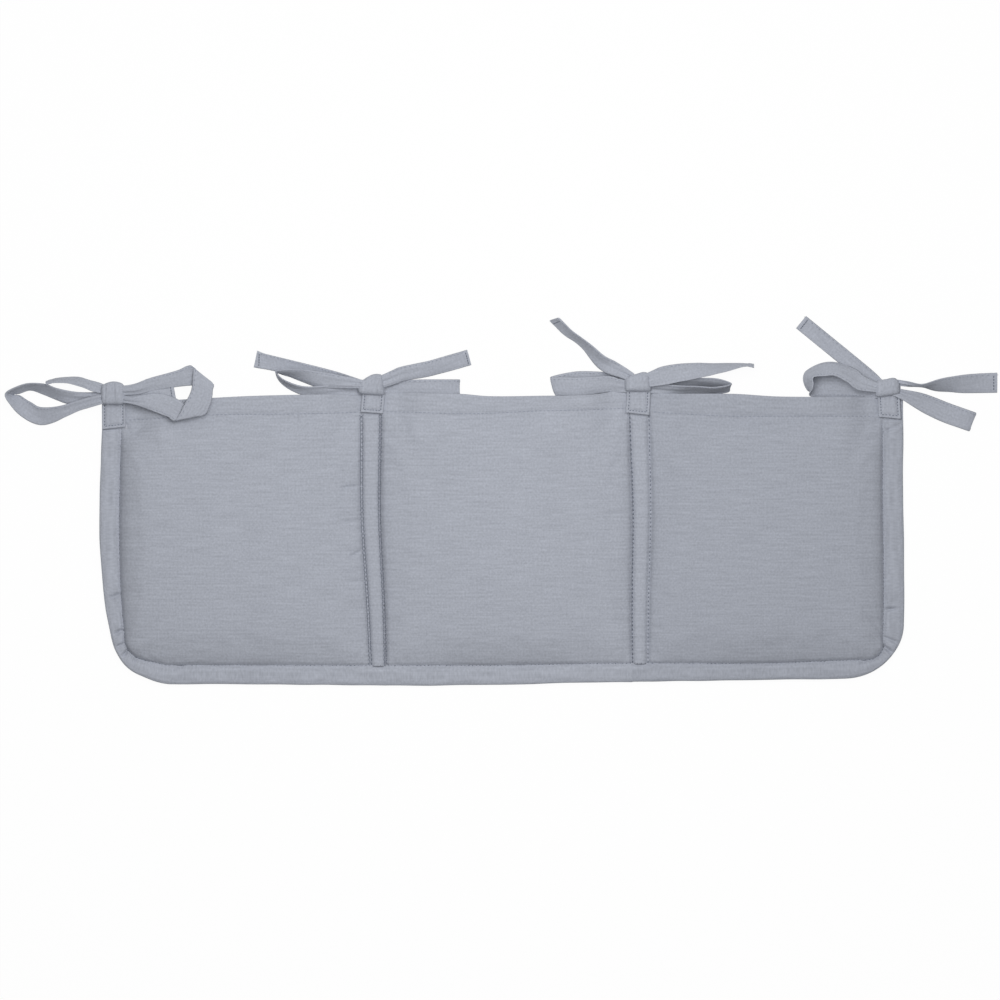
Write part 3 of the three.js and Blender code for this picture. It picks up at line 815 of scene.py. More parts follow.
def swell_cloth(obj, pinned):
    """Runs the simulation on obj and leaves the swollen shape in its mesh."""
    start = [v.co.copy() for v in obj.data.vertices]
    group = obj.vertex_groups.new(name=PIN_GROUP)
    group.add(pinned, 1.0, "REPLACE")
    cloth = obj.modifiers.new("swelling", "CLOTH")
    for key, value in SIM_SETTINGS.items():
        setattr(cloth.settings, key, value)
    cloth.settings.effector_weights.gravity = 0.0
    for step in range(1, SIM_FRAMES + 1):
        scene.frame_set(step)
    swollen = obj.evaluated_get(bpy.context.evaluated_depsgraph_get())
    moved = [v.co.copy() for v in swollen.data.vertices]
    obj.modifiers.remove(cloth)
    obj.vertex_groups.clear()
    scene.frame_set(1)
    furthest = 0.0
    for vert, before, after in zip(obj.data.vertices, start, moved):
        step = after - before
        furthest = max(furthest, step.length)
        vert.co = before + step.normalized() * SIM_CAP * math.tanh(step.length / SIM_CAP)
    return furthest


def sim_panel(name):
    """One pocket's front panel, swollen, still in the flat pattern's place."""
    bm = panel_mesh(name)
    crease = bm.edges.layers.float.new("crease_edge")
    pinned = []
    bm.verts.index_update()
    for vert in bm.verts:
        x, y = vert.co.x, vert.co.y
        gaps = seam_gaps(name, x, y)
        sewn = min(gaps) < PIN_REACH or y > HEM_LINE - HEM_REACH or in_strip(name, x, y) is not None
        height = front_height(name, x, y)
        vert.co.z = height if sewn else SEAM_Z + (height - SEAM_Z) * SIM_START
        if sewn:
            pinned.append(vert.index)
    held = set(pinned)
    for edge in bm.edges:
        middle = (edge.verts[0].co + edge.verts[1].co) / 2
        gaps = seam_gaps(name, middle.x, middle.y)
        on_seam = min(gaps[:3]) < CREASE_REACH or abs(middle.y - HEM_LINE) < HEM_REACH
        if on_seam and all(v.index in held for v in edge.verts):
            edge[crease] = 1.0
    obj = new_piece(name + "_pocket_front", bm, covers[name], lining_cotton, cover_cotton)
    furthest = swell_cloth(obj, pinned)
    print(name, "front swelled by", round(furthest / MM, 1), "mm at most")
    smoother = obj.modifiers.new("finer", "SUBSURF")
    smoother.levels = 1
    smoother.render_levels = 1
    finer = bpy.data.meshes.new_from_object(obj.evaluated_get(bpy.context.evaluated_depsgraph_get()))
    obj.modifiers.remove(smoother)
    obj.data = finer
    return obj


print("simulation steps:", SIM_FRAMES)

# %% [markdown]
# ## Puckers, creases and grooves
# Sewing thread pulls cloth up as it goes, so every seam lies in a groove with a dimple at each needle hole,
# and small puckers die away from it into the pad. A few sharper creases lie where the cloth was folded or
# caught. They are sculpted by moving points, because the simulation before them is too coarse.

# %% Puckers
ROW_PITCH = 3.1 * MM
GROOVE_DEPTH = 1.6 * MM
GROOVE_WIDTH = 1.7 * MM
DIMPLE_DEPTH = 0.6 * MM
SEAM_SINK = 1.4 * MM
SEAM_WIDTH = 1.6 * MM
HEM_STITCH_UP = 1.8 * MM
HEM_GROOVE = 0.4 * MM
HEM_GROOVE_WIDTH = 1.0 * MM
GROOVE_END = 2 * MM
PUCKER_DEPTH = 0.5 * MM
PUCKER_START = 2.5 * MM
PUCKER_REACH = 9 * MM
PUCKER_PITCH = 6 * MM
PUCKER_DRIFT = 25 * MM
FINE_SHARE = 0.45
FINE_DRIFT = 12 * MM
FINE_SEED = 7.1
SOFT = 0.6
SEEDS = {"strip": 3.3, "hem": 11.9, "left": 1.7, "right": 5.2, "bottom": 8.6, "wander": 2.2}
WANDER_DEPTH = 0.25 * MM
WANDER_SIZE = (42 * MM, 55 * MM)
WANDER_FADE = 15 * MM
CALM_RADII = 1.4
CALM_FADE = 12 * MM
CREASE_TAPER = 0.3
CREASE_FADE = 0.5
CREASE_WIDTHS = 4
FRONT_FLOOR = 2.6 * MM

# A crease is its start and its end in the pattern, its depth and its half width, all in millimetres.
FRONT_CREASES = [
    (-117, 39.0, -105, 40.5, 1.7, 1.2),
    (-117, 13.2, -104, 14.8, 0.9, 1.5),
    (-111, -12.4, -103, -8.0, 1.5, 1.3),
    (-110, 29.0, -103, 28.0, 0.5, 1.2),
    (-113, -32.0, -101, -30.0, 0.5, 1.5),
    (-104, 58.0, -90, 58.0, 0.3, 1.2),
    (-103, 40.4, -89, 40.4, 0.35, 1.0),
    (-152.8, 95, -152.4, 89, 0.9, 1.0),
    (-31.8, 95, -32.0, 88, 0.9, 1.0),
    (58.0, 70, 60.0, 38, 0.35, 1.6),
    (276, -60, 286, -76, 0.7, 2.0),
    (270, -62, 281, -82, 0.6, 2.2),
    (-280, 84, -262, 90, 0.6, 2.2),
    (-205, 88, -196, 95, 0.6, 2.0),
    (186, 96, 187, 106, 0.3, 1.4),
    (214, 96, 212, 106, 0.35, 1.6),
    (243, 97, 245, 106, 0.3, 1.4),
]


def crease_depth(creases, x, y):
    """How deep the listed creases press at a point."""
    deep = 0.0
    x, y = x / MM, y / MM
    for x0, y0, x1, y1, depth, width in creases:
        run_x, run_y = x1 - x0, y1 - y0
        length = math.hypot(run_x, run_y)
        along = ((x - x0) * run_x + (y - y0) * run_y) / length**2
        across = abs((x - x0) * run_y - (y - y0) * run_x) / length
        if -CREASE_TAPER < along < 1 + CREASE_TAPER and across < CREASE_WIDTHS * width:
            fade = ease((along + CREASE_TAPER) / CREASE_FADE)
            fade *= ease((1 + CREASE_TAPER - along) / CREASE_FADE)
            deep += depth * MM * fade * hump(across, width)
    return deep


def pucker(along, gap, seed):
    """Small folds that stand square to a seam and die away from it."""
    wave = noise.noise(Vector((along / PUCKER_PITCH, seed, gap / PUCKER_DRIFT)))
    fine = noise.noise(Vector((along / (FINE_SHARE * PUCKER_PITCH), seed + FINE_SEED, gap / FINE_DRIFT)))
    dying = math.exp(-gap / PUCKER_REACH)
    return (wave + FINE_SHARE * fine) * PUCKER_DEPTH * dying * ease(gap / PUCKER_START)


def row_groove(gap, along):
    """How deep a row of stitches presses: a groove with a dimple at each needle hole."""
    needle = 0.5 + 0.5 * math.cos(2 * math.pi * along / ROW_PITCH)
    return (GROOVE_DEPTH + DIMPLE_DEPTH * needle) * hump(gap, GROOVE_WIDTH)


def corner_calm(x, y):
    """Nothing inside the rounded corners, where the puckers of two seams would meet, and one elsewhere."""
    sign = -1 if x < 0 else 1
    away = math.hypot(x - sign * SEWN_SIDE, y - SEWN_BOTTOM)
    return ease((away - CALM_RADII * INNER_CORNER[sign]) / CALM_FADE)


def front_sculpt(name, x, y):
    """What is added to the swollen height: grooves at the stitch rows, puckers and creases."""
    left, right, below, above = seam_gaps(name, x, y)
    strip = in_strip(name, x, y)
    lowered = crease_depth(FRONT_CREASES, x, y)
    if strip is not None:
        sign = SIGN[name]
        gap = min(strip, 1 - strip) * abs(channel_row(sign, True, y) - channel_row(sign, False, y))
        lowered += row_groove(gap, y) * ease((HEM_LINE + GROOVE_END - y) / GROOVE_END)
        return SOFT * pucker(y, gap, SEEDS["strip"]) - lowered
    if y > HEM_LINE:
        lowered += HEM_GROOVE * hump(y - HEM_LINE - HEM_STITCH_UP, HEM_GROOVE_WIDTH)
        return SOFT * pucker(x, y - HEM_LINE, SEEDS["hem"]) - lowered
    rows = [gap for gap, kind in zip((left, right), SIDE_KINDS[name]) if kind[0] == "row"]
    bound = [gap for gap, kind in zip((left, right), SIDE_KINDS[name]) if kind[0] == "binding"]
    lowered += row_groove(min(rows), y) + SEAM_SINK * hump(min(bound + [below]), SEAM_WIDTH)
    sides = pucker(y, left, SEEDS["left"]) + pucker(y, right, SEEDS["right"])
    ends = pucker(x, below, SEEDS["bottom"]) + SOFT * pucker(x, above, SEEDS["hem"])
    wander = noise.noise(Vector((x / WANDER_SIZE[0], y / WANDER_SIZE[1], SEEDS["wander"])))
    wander *= ease(min(left, right, below) / WANDER_FADE)
    return (sides + ends) * corner_calm(x, y) + WANDER_DEPTH * wander - lowered


print("a needle hole is", round(row_groove(0, 0) / MM, 2), "mm deep")


# %% Pocket fronts
def map_cloth(bm, flat):
    """Gives every corner of bm its place on the cloth, in metres, from the point that flat returns."""
    layer = bm.loops.layers.uv.new(CLOTH_UV)
    for face in bm.faces:
        for loop in face.loops:
            loop[layer].uv = flat(loop.vert)


def lay_out(bm):
    """Maps a closed panel as flat cloth, then moves it from the pattern to where it lies."""
    map_cloth(bm, lambda vert: (vert.co.x, vert.co.y))
    for vert in bm.verts:
        vert.co.x, vert.co.y = lie(vert.co.x, vert.co.y)


def close_panel(bm, under, inside):
    """Doubles a sheet and moves the first one to the heights that under gives, with a wall round the rim."""
    sheet = bm.faces[:]
    heights = {v: v.co.z for v in bm.verts}
    bmesh.ops.extrude_face_region(bm, geom=sheet, use_keep_orig=True)
    for vert, height in heights.items():
        vert.co.z = under(vert.co.x, vert.co.y, height)
    for face in sheet:
        face.material_index = inside
    bmesh.ops.recalc_face_normals(bm, faces=bm.faces[:])


def front_panel(name):
    """One pocket's front: the swollen panel, sculpted, pressed under the tabs, lined and laid out."""
    obj = sim_panel(name)
    bm = bmesh.new()
    bm.from_mesh(obj.data)
    for vert in bm.verts:
        x, y, height = vert.co
        height = max(height + front_sculpt(name, x, y), FRONT_FLOOR)
        press = tab_share(*lie(x, y))
        vert.co.z = mix(height, min(height, PRESSED_FRONT), press)
    for face in bm.faces:
        middle = face.calc_center_median()
        face.material_index = 0 if in_strip(name, middle.x, middle.y) is None else 2
    close_panel(bm, lambda x, y, above: lining_height(name, x, y, above), inside=1)
    lay_out(bm)
    bm.to_mesh(obj.data)
    bm.free()
    obj.data.shade_smooth()
    return obj


fronts = {name: front_panel(name) for name in SIDE_KINDS}
print("pocket fronts:", {name: len(obj.data.polygons) for name, obj in fronts.items()})

# %% [markdown]
# ## Backs
# Behind each pocket lies a thinner padded panel, flat on the floor and drawn up a little at its seams, where
# the same rows of stitching come through. It closes the pocket from behind, with the lining inside.

# %% Back panels
BACK_SHOULDER = 8 * MM
BACK_SEAM_Z = 1.0 * MM
BACK_THICKNESS = 2.4 * MM
BACK_LOFT = 2.0 * MM
STRIP_BACK = 0.7 * MM
BACK_THINNED = 3 * MM
BACK_GROOVE = 0.5 * MM
BACK_PUCKER = 0.8
BACK_PUCKER_FADE = 14 * MM
BACK_SIDE_SEED = 21.3
BACK_END_SEED = 27.7


def back_rise(name, x, y):
    """From 0 on the seams, the hem and the channels to 1 where the back's wadding is full."""
    if in_strip(name, x, y) is not None or y > HEM_LINE:
        return 0.0
    return min(swell(gap, BACK_SHOULDER) for gap in seam_gaps(name, x, y))


def back_low(name, x, y):
    """The outer face of a back panel."""
    left, right, below, _ = seam_gaps(name, x, y)
    sewn = BACK_SEAM_Z * (1 - back_rise(name, x, y))
    hem_gap = abs(HEM_LINE - y)
    gap = min(left, right, below, hem_gap)
    ripple = pucker(y, min(left, right), BACK_SIDE_SEED) + pucker(x, min(below, hem_gap), BACK_END_SEED)
    groove = BACK_GROOVE * hump(gap, GROOVE_WIDTH)
    return max(sewn + BACK_PUCKER * ripple * (1 - ease(gap / BACK_PUCKER_FADE)) + groove, 0.0)


def back_high(name, x, y, low):
    """The inner face of a back panel, over its outer face."""
    if in_strip(name, x, y) is not None and y < HEM_LINE:
        return low + STRIP_BACK
    left, right, below, _ = seam_gaps(name, x, y)
    thinned = (BACK_THICKNESS - STRIP_BACK) * hump(min(left, right, below), BACK_THINNED)
    return low + BACK_THICKNESS + BACK_LOFT * back_rise(name, x, y) - thinned


def back_panel(name):
    bm = panel_mesh(name)
    for vert in bm.verts:
        x, y, _ = vert.co
        low = back_low(name, x, y)
        vert.co.z = mix(low, max(low, PRESSED_BACK), tab_share(*lie(x, y)))
    close_panel(bm, lambda x, y, low: back_high(name, x, y, low), inside=1)
    lay_out(bm)
    return new_piece(name + "_pocket_back", bm, covers[name], lining_cotton)


backs = {name: back_panel(name) for name in SIDE_KINDS}
print("pocket backs:", {name: len(obj.data.polygons) for name, obj in backs.items()})

# %% [markdown]
# ## Binding
# A strip of the same cotton is folded over the raw edge and sewn through, so it reads as a soft flattened
# roll. Its inner edge turns the corners more tightly than its outer edge, so the two edges are walked in
# pairs, and a grid is wrapped round the roll between them. Puckers follow the thread.

# %% Binding
BINDING_MIDDLE = 3.3 * MM
BINDING_HALF = 2.9 * MM
BINDING_SQUARE = 0.62
BINDING_STEP = 0.75 * MM
BINDING_AROUND = 36
BINDING_STITCH_IN = 0.9 * MM
BINDING_PITCH = 3.0 * MM
BINDING_GROOVE = 0.7 * MM
BINDING_GROOVE_WIDTH = 1.0 * MM
GROOVE_LEAST = 0.7
GROOVE_NEEDLE = 0.5
BINDING_SCALLOP = 1.5 * MM
SCALLOP_RUN = 8 * MM
SCALLOP_SEED = 6.6
BINDING_LAP = 0.9 * MM
BINDING_DIP = 1.1 * MM
BINDING_DIP_FADE = 2.4 * MM
BINDING_FLOOR = 0.2 * MM
BINDING_WANDER = 0.03
BINDING_WANDER_RUN = 24 * MM
BINDING_WANDER_SEED = (4.4, 1.5)
ROLL_WELD = 0.01 * MM

# A ripple is its depth, its seed and its size.
BINDING_RIPPLES = [(0.5 * MM, 0.2, 6 * MM), (0.4 * MM, 0.3, 20 * MM)]

# The creases of the binding are given as those of the fronts are.
BINDING_CREASES = [
    (-293, -43.5, -286, -40.5, 3.0, 1.5),
    (-293, -70.5, -286, -67.0, 3.0, 1.5),
    (-292, -82.0, -285, -79.0, 1.8, 1.6),
    (-286, -90.0, -281, -85.0, 2.8, 1.5),
    (-277, -95.0, -273, -89.0, 1.8, 1.5),
    (-246, -97.0, -236, -92.0, 1.4, 1.6),
    (286, -52.5, 293, -51.5, 2.6, 1.5),
    (283, -81.0, 291, -88.0, 2.8, 1.4),
    (285, -75.0, 295, -80.0, 1.8, 1.3),
    (268, -97.0, 274, -91.0, 1.8, 1.2),
    (285, 82.0, 297, 88.0, 1.8, 1.1),
    (-98.2, -108, -98.2, -91, 0.6, 0.6),
    (93.8, -108, 93.8, -91, 0.6, 0.6),
]


def binding_pairs(sign, end_x):
    """Matching points of the sewn edge and the outer edge, from the top of one side round to end_x."""
    turn = Vector((sign * (SIDE - CORNER[sign]), BOTTOM + CORNER[sign]))
    radius = INNER_CORNER[sign]
    start = 180 if sign < 0 else 0
    end = start - 90 * sign
    tight = (sign * (SEWN_SIDE - radius), SEWN_BOTTOM + radius)
    sewn_turn = [Vector((sign * SEWN_SIDE, turn.y)), *arc(tight, radius, start, end)]
    sewn_turn.append(Vector((turn.x, SEWN_BOTTOM)))
    runs = [
        ([Vector((sign * SEWN_SIDE, TOP)), sewn_turn[0]], [Vector((sign * SIDE, y)) for y in (TOP, turn.y)]),
        (sewn_turn, arc(turn, CORNER[sign], start, end, steps=60)),
        ([sewn_turn[-1], Vector((end_x, SEWN_BOTTOM))], [Vector((x, BOTTOM)) for x in (turn.x, end_x)]),
    ]
    return step_pairs(runs)


def step_pairs(runs):
    """Pairs of points at even steps along matching inner and outer runs."""
    pairs = []
    for inner_points, outer_points in runs:
        inner, outer = walk(inner_points), walk(outer_points)
        steps = round(outer.length / BINDING_STEP)
        pairs += [(inner(k / steps), outer(k / steps)) for k in range(steps)]
    pairs.append((inner(1), outer(1)))
    return pairs


inner_ends = {sign: channel_row(sign, False, SEWN_BOTTOM) for sign in (-1, 1)}
centre_runs = [tuple([Vector((inner_ends[sign], y)) for sign in (-1, 1)] for y in (SEWN_BOTTOM, BOTTOM))]
binding_edges = {
    "left": binding_pairs(-1, inner_ends[-1]),
    "right": binding_pairs(1, inner_ends[1]),
    "centre": step_pairs(centre_runs),
}
print("binding steps:", {name: len(pairs) for name, pairs in binding_edges.items()})


# %% Binding roll
def binding_height(across, rise, run, point):
    """How high the roll stands at a share across it, on its upper side where rise is above nothing."""
    ripple = 0.0
    for depth, seed, size in BINDING_RIPPLES:
        ripple += depth * noise.noise(Vector((point.x, point.y, seed)) / size)
    needle = 0.5 + 0.5 * math.cos(2 * math.pi * run / BINDING_PITCH)
    groove = BINDING_GROOVE * (GROOVE_LEAST + GROOVE_NEEDLE * needle)
    groove *= hump(across * BINDING - BINDING_STITCH_IN, BINDING_GROOVE_WIDTH)
    height = BINDING_MIDDLE + rise * (BINDING_HALF + ripple - groove)
    if rise > 0:
        dip = BINDING_DIP * math.exp(-across * BINDING / BINDING_DIP_FADE)
        height -= (crease_depth(BINDING_CREASES, point.x, point.y) + dip) * rise
    return max(height, BINDING_FLOOR)


def binding_piece(name, pairs):
    """One length of the binding: a grid wrapped into a flattened roll between pairs of points."""
    bm = bmesh.new()
    columns = len(pairs) - 1
    reached = [0.0]
    for near, far in zip(pairs, pairs[1:]):
        reached.append(reached[-1] + ((far[0] + far[1] - near[0] - near[1]) / 2).length)
    made = bmesh.ops.create_grid(bm, x_segments=columns, y_segments=BINDING_AROUND, size=0.5)
    places = {}
    for vert in made["verts"]:
        k = round((vert.co.x + 0.5) * columns)
        turn = (vert.co.y + 0.5) * 2 * math.pi
        across = (1 + squared(math.cos(turn), BINDING_SQUARE)) / 2
        rise = squared(math.sin(turn), BINDING_SQUARE)
        run = reached[k]
        places[vert] = (run, turn * BINDING / math.pi)
        inner, outer = pairs[k]
        needle = math.cos(2 * math.pi * run / BINDING_PITCH)
        uneven = 0.5 + noise.noise(Vector((run / SCALLOP_RUN, SCALLOP_SEED, len(name))))
        scallop = -(0.5 * BINDING_SCALLOP * needle * uneven + BINDING_LAP) * (1 - across) ** 3
        drift = noise.noise(Vector((run / BINDING_WANDER_RUN, *BINDING_WANDER_SEED)))
        point = inner.lerp(outer, across + BINDING_WANDER * across * drift + scallop / BINDING)
        height = binding_height(across, rise, run, point)
        lying = lie(point.x, point.y)
        flattened = min(height, PRESSED_FRONT) if rise > 0 else max(height, PRESSED_BACK)
        vert.co = Vector((*lying, mix(height, flattened, tab_share(*lying))))
    map_cloth(bm, places.get)
    bmesh.ops.remove_doubles(bm, verts=bm.verts[:], dist=ROLL_WELD)
    cap_ends(bm)
    return new_piece(name + "_edge_binding", bm, covers[name])


bindings = {name: binding_piece(name, pairs) for name, pairs in binding_edges.items()}
print("binding:", {name: len(obj.data.polygons) for name, obj in bindings.items()})

# %% [markdown]
# ## Sewing thread
# The rows of stitching are real beads of thread. Each row follows a run of the pattern, and a ray dropped on
# the finished cloth says where each stitch lies and how it tilts. The left channel is sewn in a chain,
# two zigzag rows side by side, and the right one straight. The binding's thread bites into its edge.

# %% Stitches
ROW_STITCH = {"length": 2.4 * MM, "radius": 0.44 * MM}
HEM_STITCH = {"length": 2.4 * MM, "radius": 0.38 * MM}
CHAIN_STITCH = {"length": 2.5 * MM, "radius": 0.27 * MM}
NOTCH_STITCH = {"length": 1.7 * MM, "radius": 0.34 * MM}
STITCH_SINK = 0.1 * MM
NOTCH_SINK = 0.2 * MM
NOTCH_UNEVEN = 1.3
CHAIN_LIFT = 0.12 * MM
CHAIN_TURN = 1.1
CHAIN_PITCH = 1.6 * MM
CHAIN_ASIDE = 0.85 * MM
NOTCH_TURN = 0.8
NOTCH_PITCH = 2.75 * MM
NOTCH_INSIDE = 0.6 * MM
ROW_INSIDE = 0.5 * MM
RAY_START = 0.1
STITCH_SIDES = 6
STITCH_RINGS = 5
STITCH_START = 0.2
STITCH_END = 0.8
UNEVEN_STEP = 0.83
SMALLEST = 0.2
TAB_HIDES = 0.5


def add_stitch(bm, centre, along, up, length, radius, material):
    """One stitch: a slim bead of thread that lies along the seam."""
    side = up.cross(along).normalized()
    lifted = along.cross(side).normalized()
    place = Matrix((along * length / 2, side * radius, lifted * radius)).transposed().to_4x4()
    place.translation = centre
    sides = {"u_segments": STITCH_SIDES, "v_segments": STITCH_RINGS}
    made = bmesh.ops.create_uvsphere(bm, radius=1.0, matrix=place, **sides)
    for face in {f for vert in made["verts"] for f in vert.link_faces}:
        face.material_index = material


def surface_of(*pieces):
    """A search tree of the faces of some pieces, to drop rays on."""
    corners, faces = [], []
    for obj in pieces:
        first = len(corners)
        corners += [v.co for v in obj.data.vertices]
        faces += [[first + k for k in p.vertices] for p in obj.data.polygons]
    return BVHTree.FromPolygons(corners, faces)


def sew(bm, surface, run, pitch, front, stitch, turns=(0.0,), lift=-STITCH_SINK, material=0, uneven=0.3):
    """Lays a row of uneven stitches on a surface along a run of pattern points, each turned from the run."""
    at = walk(run)
    count = round(at.length / pitch)
    down = Vector((0, 0, -1 if front else 1))
    for k in range(count):
        near = Vector(lie(*at((k + STITCH_START) / count)))
        far = Vector(lie(*at((k + STITCH_END) / count)))
        middle = (near + far) / 2
        if tab_share(*middle) > TAB_HIDES:
            continue
        along = (far - near).normalized()
        across = Vector((-along.y, along.x))
        start = middle.to_3d() - down * RAY_START
        seat, normal, _, _ = surface.ray_cast(start, down)
        if seat is None:
            continue
        heading = (along + across * turns[k % len(turns)]).to_3d()
        heading -= normal * heading.dot(normal)
        change = noise.noise(Vector((UNEVEN_STEP * k, pitch / MM, run[0].x / MM)))
        size = max(1 + uneven * change, SMALLEST)
        length, radius = stitch["length"] * size, stitch["radius"] * min(size, 1)
        add_stitch(bm, seat + normal * lift, heading.normalized(), normal, length, radius, material)


def hem_run(name):
    """The hem's stitch row of one pocket, from its left end to its right end."""
    height = HEM_LINE + HEM_STITCH_UP
    rows = {
        "left": (-SEWN_SIDE, channel_row(-1, True, height)),
        "centre": (channel_row(-1, False, height), channel_row(1, False, height)),
        "right": (channel_row(1, True, height), SEWN_SIDE),
    }
    return [Vector((x, height)) for x in rows[name]]


def stitching(name, front):
    """All the stitches on the front or the back of one section."""
    bm = bmesh.new()
    panels = fronts if front else backs
    panel = surface_of(*{panels[name], panels["centre"]})
    sew(bm, panel, hem_run(name), ROW_PITCH, front, HEM_STITCH, material=1)
    if name != "centre":
        sign = SIGN[name]
        for outer in (True, False):
            inside = Vector((0 if outer else sign * ROW_INSIDE, 0))
            run = [point + inside for point in row_run(sign, outer, SEWN_BOTTOM, HEM_LINE)]
            if sign > 0:
                sew(bm, panel, run, ROW_PITCH, front, ROW_STITCH)
                continue
            for way in (-1, 1):
                beside = [point + Vector((way * CHAIN_ASIDE, 0)) for point in run]
                turns = (-way * CHAIN_TURN, way * CHAIN_TURN)
                sew(bm, panel, beside, CHAIN_PITCH, front, CHAIN_STITCH, turns, CHAIN_LIFT, material=2)
    share = -NOTCH_INSIDE / BINDING
    edge_run = [inner.lerp(outer, share) for inner, outer in binding_edges[name]]
    edge = surface_of(bindings[name], panels[name])
    notch = {"turns": (NOTCH_TURN,), "lift": -NOTCH_SINK, "uneven": NOTCH_UNEVEN}
    sew(bm, edge, edge_run, NOTCH_PITCH, front, NOTCH_STITCH, **notch)
    face = "front" if front else "back"
    return new_piece(f"{name}_{face}_stitching", bm, shade_dark_thread, pale_thread, shade_dark_chain_thread)


rows_of_thread = {(name, front): stitching(name, front) for name in SIDE_KINDS for front in (True, False)}
print("stitching:", {obj.name: len(obj.data.polygons) for obj in rows_of_thread.values()})

# %% [markdown]
# ## Riding on the bodies
# The two outer pockets fold up along the outer stitch row of each channel. The cloth there is one piece. The
# pieces of the centre ride on the centre section. For an outer piece the fold joint and fold line are found
# and its place is baked into its mesh.


def fold_blend(obj, name):
    """Finds the fold joint and fold line of the left or right channel, and bakes the piece's place into its
    mesh.
    """
    sign = SIGN[name]
    joint = next(j for j in frame["joints"] if j["name"] == name + "_fold")
    low = Vector((channel_row(sign, True, BOTTOM), BOTTOM))
    high = Vector((channel_row(sign, True, TOP), TOP))
    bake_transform(obj)


for name in SIDE_KINDS:
    sewn_pieces = [fronts[name], backs[name], bindings[name]]
    sewn_pieces += [rows_of_thread[name, front] for front in (True, False)]
    for obj in sewn_pieces:
        if name == "centre":
            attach(obj, "centre_section")
        else:
            fold_blend(obj, name)
    layers = ("cover", "wadding", "lining", "hem")
    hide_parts(*(f"{name}_front_{layer}" for layer in layers))
    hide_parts(*(f"{name}_back_{layer}" for layer in layers))
    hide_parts(f"{name}_binding")
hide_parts("left_divider")
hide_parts("right_divider")

# %% [markdown]
# ## Bows
# Each tape is caught under a box-stitched tab and tied in a bow. A tape is a flat strip, so its shape is a
# route with the direction across the tape at each stop: a heading on the table, a tilt out of it, and a
# width. The stops are in millimetres and degrees. Along the table they are measured from the knot's centre,
# and upwards from the table, or from the pad that the right side of tie 1 lies on.

# %% Bow routes
KNOTS = {
    "tie_1": {
        "centre": (-290.6, 109.4, 10.4),
        "width": 18.0,
        "height": 9.0,
        "outline": [(-8.4, -4, 4), (-6.8, -7.2, 6.6), (0.8, -8, 9.0), (8, -7.6, 7.2), (9.6, -4, 4)],
        "laps": [(2.5, 0, 92), (-4.5, 0, 86)],
    },
    "tie_2": {
        "centre": (-97.2, 116.8, 6.8),
        "width": 18.0,
        "height": 12.0,
        "outline": [
            (-10.4, -5.0, -1.4), (-8.6, -7.4, 1.0), (0, -8.4, 6.5), (6.2, -8.8, 7.1), (8.4, -8.7, 5.2),
            (9.8, -8.2, -1),
        ],
        "laps": [(-2, 0, 38), (4.2, 0, 96)],
    },
    "tie_3": {
        "centre": (102.4, 118.2, 6.8),
        "width": 18.0,
        "height": 12.0,
        "outline": [
            (-10.4, -4.8, 1.4), (-9.2, -6.8, 3.4), (0, -7.4, 6.4), (4, -7.4, 7.3), (7.6, -7.2, 5.4),
            (9.4, -6.4, -1.6),
        ],
        "laps": [(-1, -1, 32), (4, 1, 120)],
    },
    "tie_4": {
        "centre": (288.0, 114.8, 6.8),
        "width": 17.4,
        "height": 12.0,
        "outline": [
            (-9.4, -5.4, 2.0), (-8, -7.8, 3.8), (0, -7.4, 5.6), (5, -6.6, 6.3), (8, -6.0, 4.4),
            (9.9, -4.6, 0.2),
        ],
        "laps": [(-1, 0, 24), (4.5, 0, 118)],
    },
}
SECTION_OF = {"tie_1": "left", "tie_2": "centre", "tie_3": "centre", "tie_4": "right"}
PAD_REST = 17.5

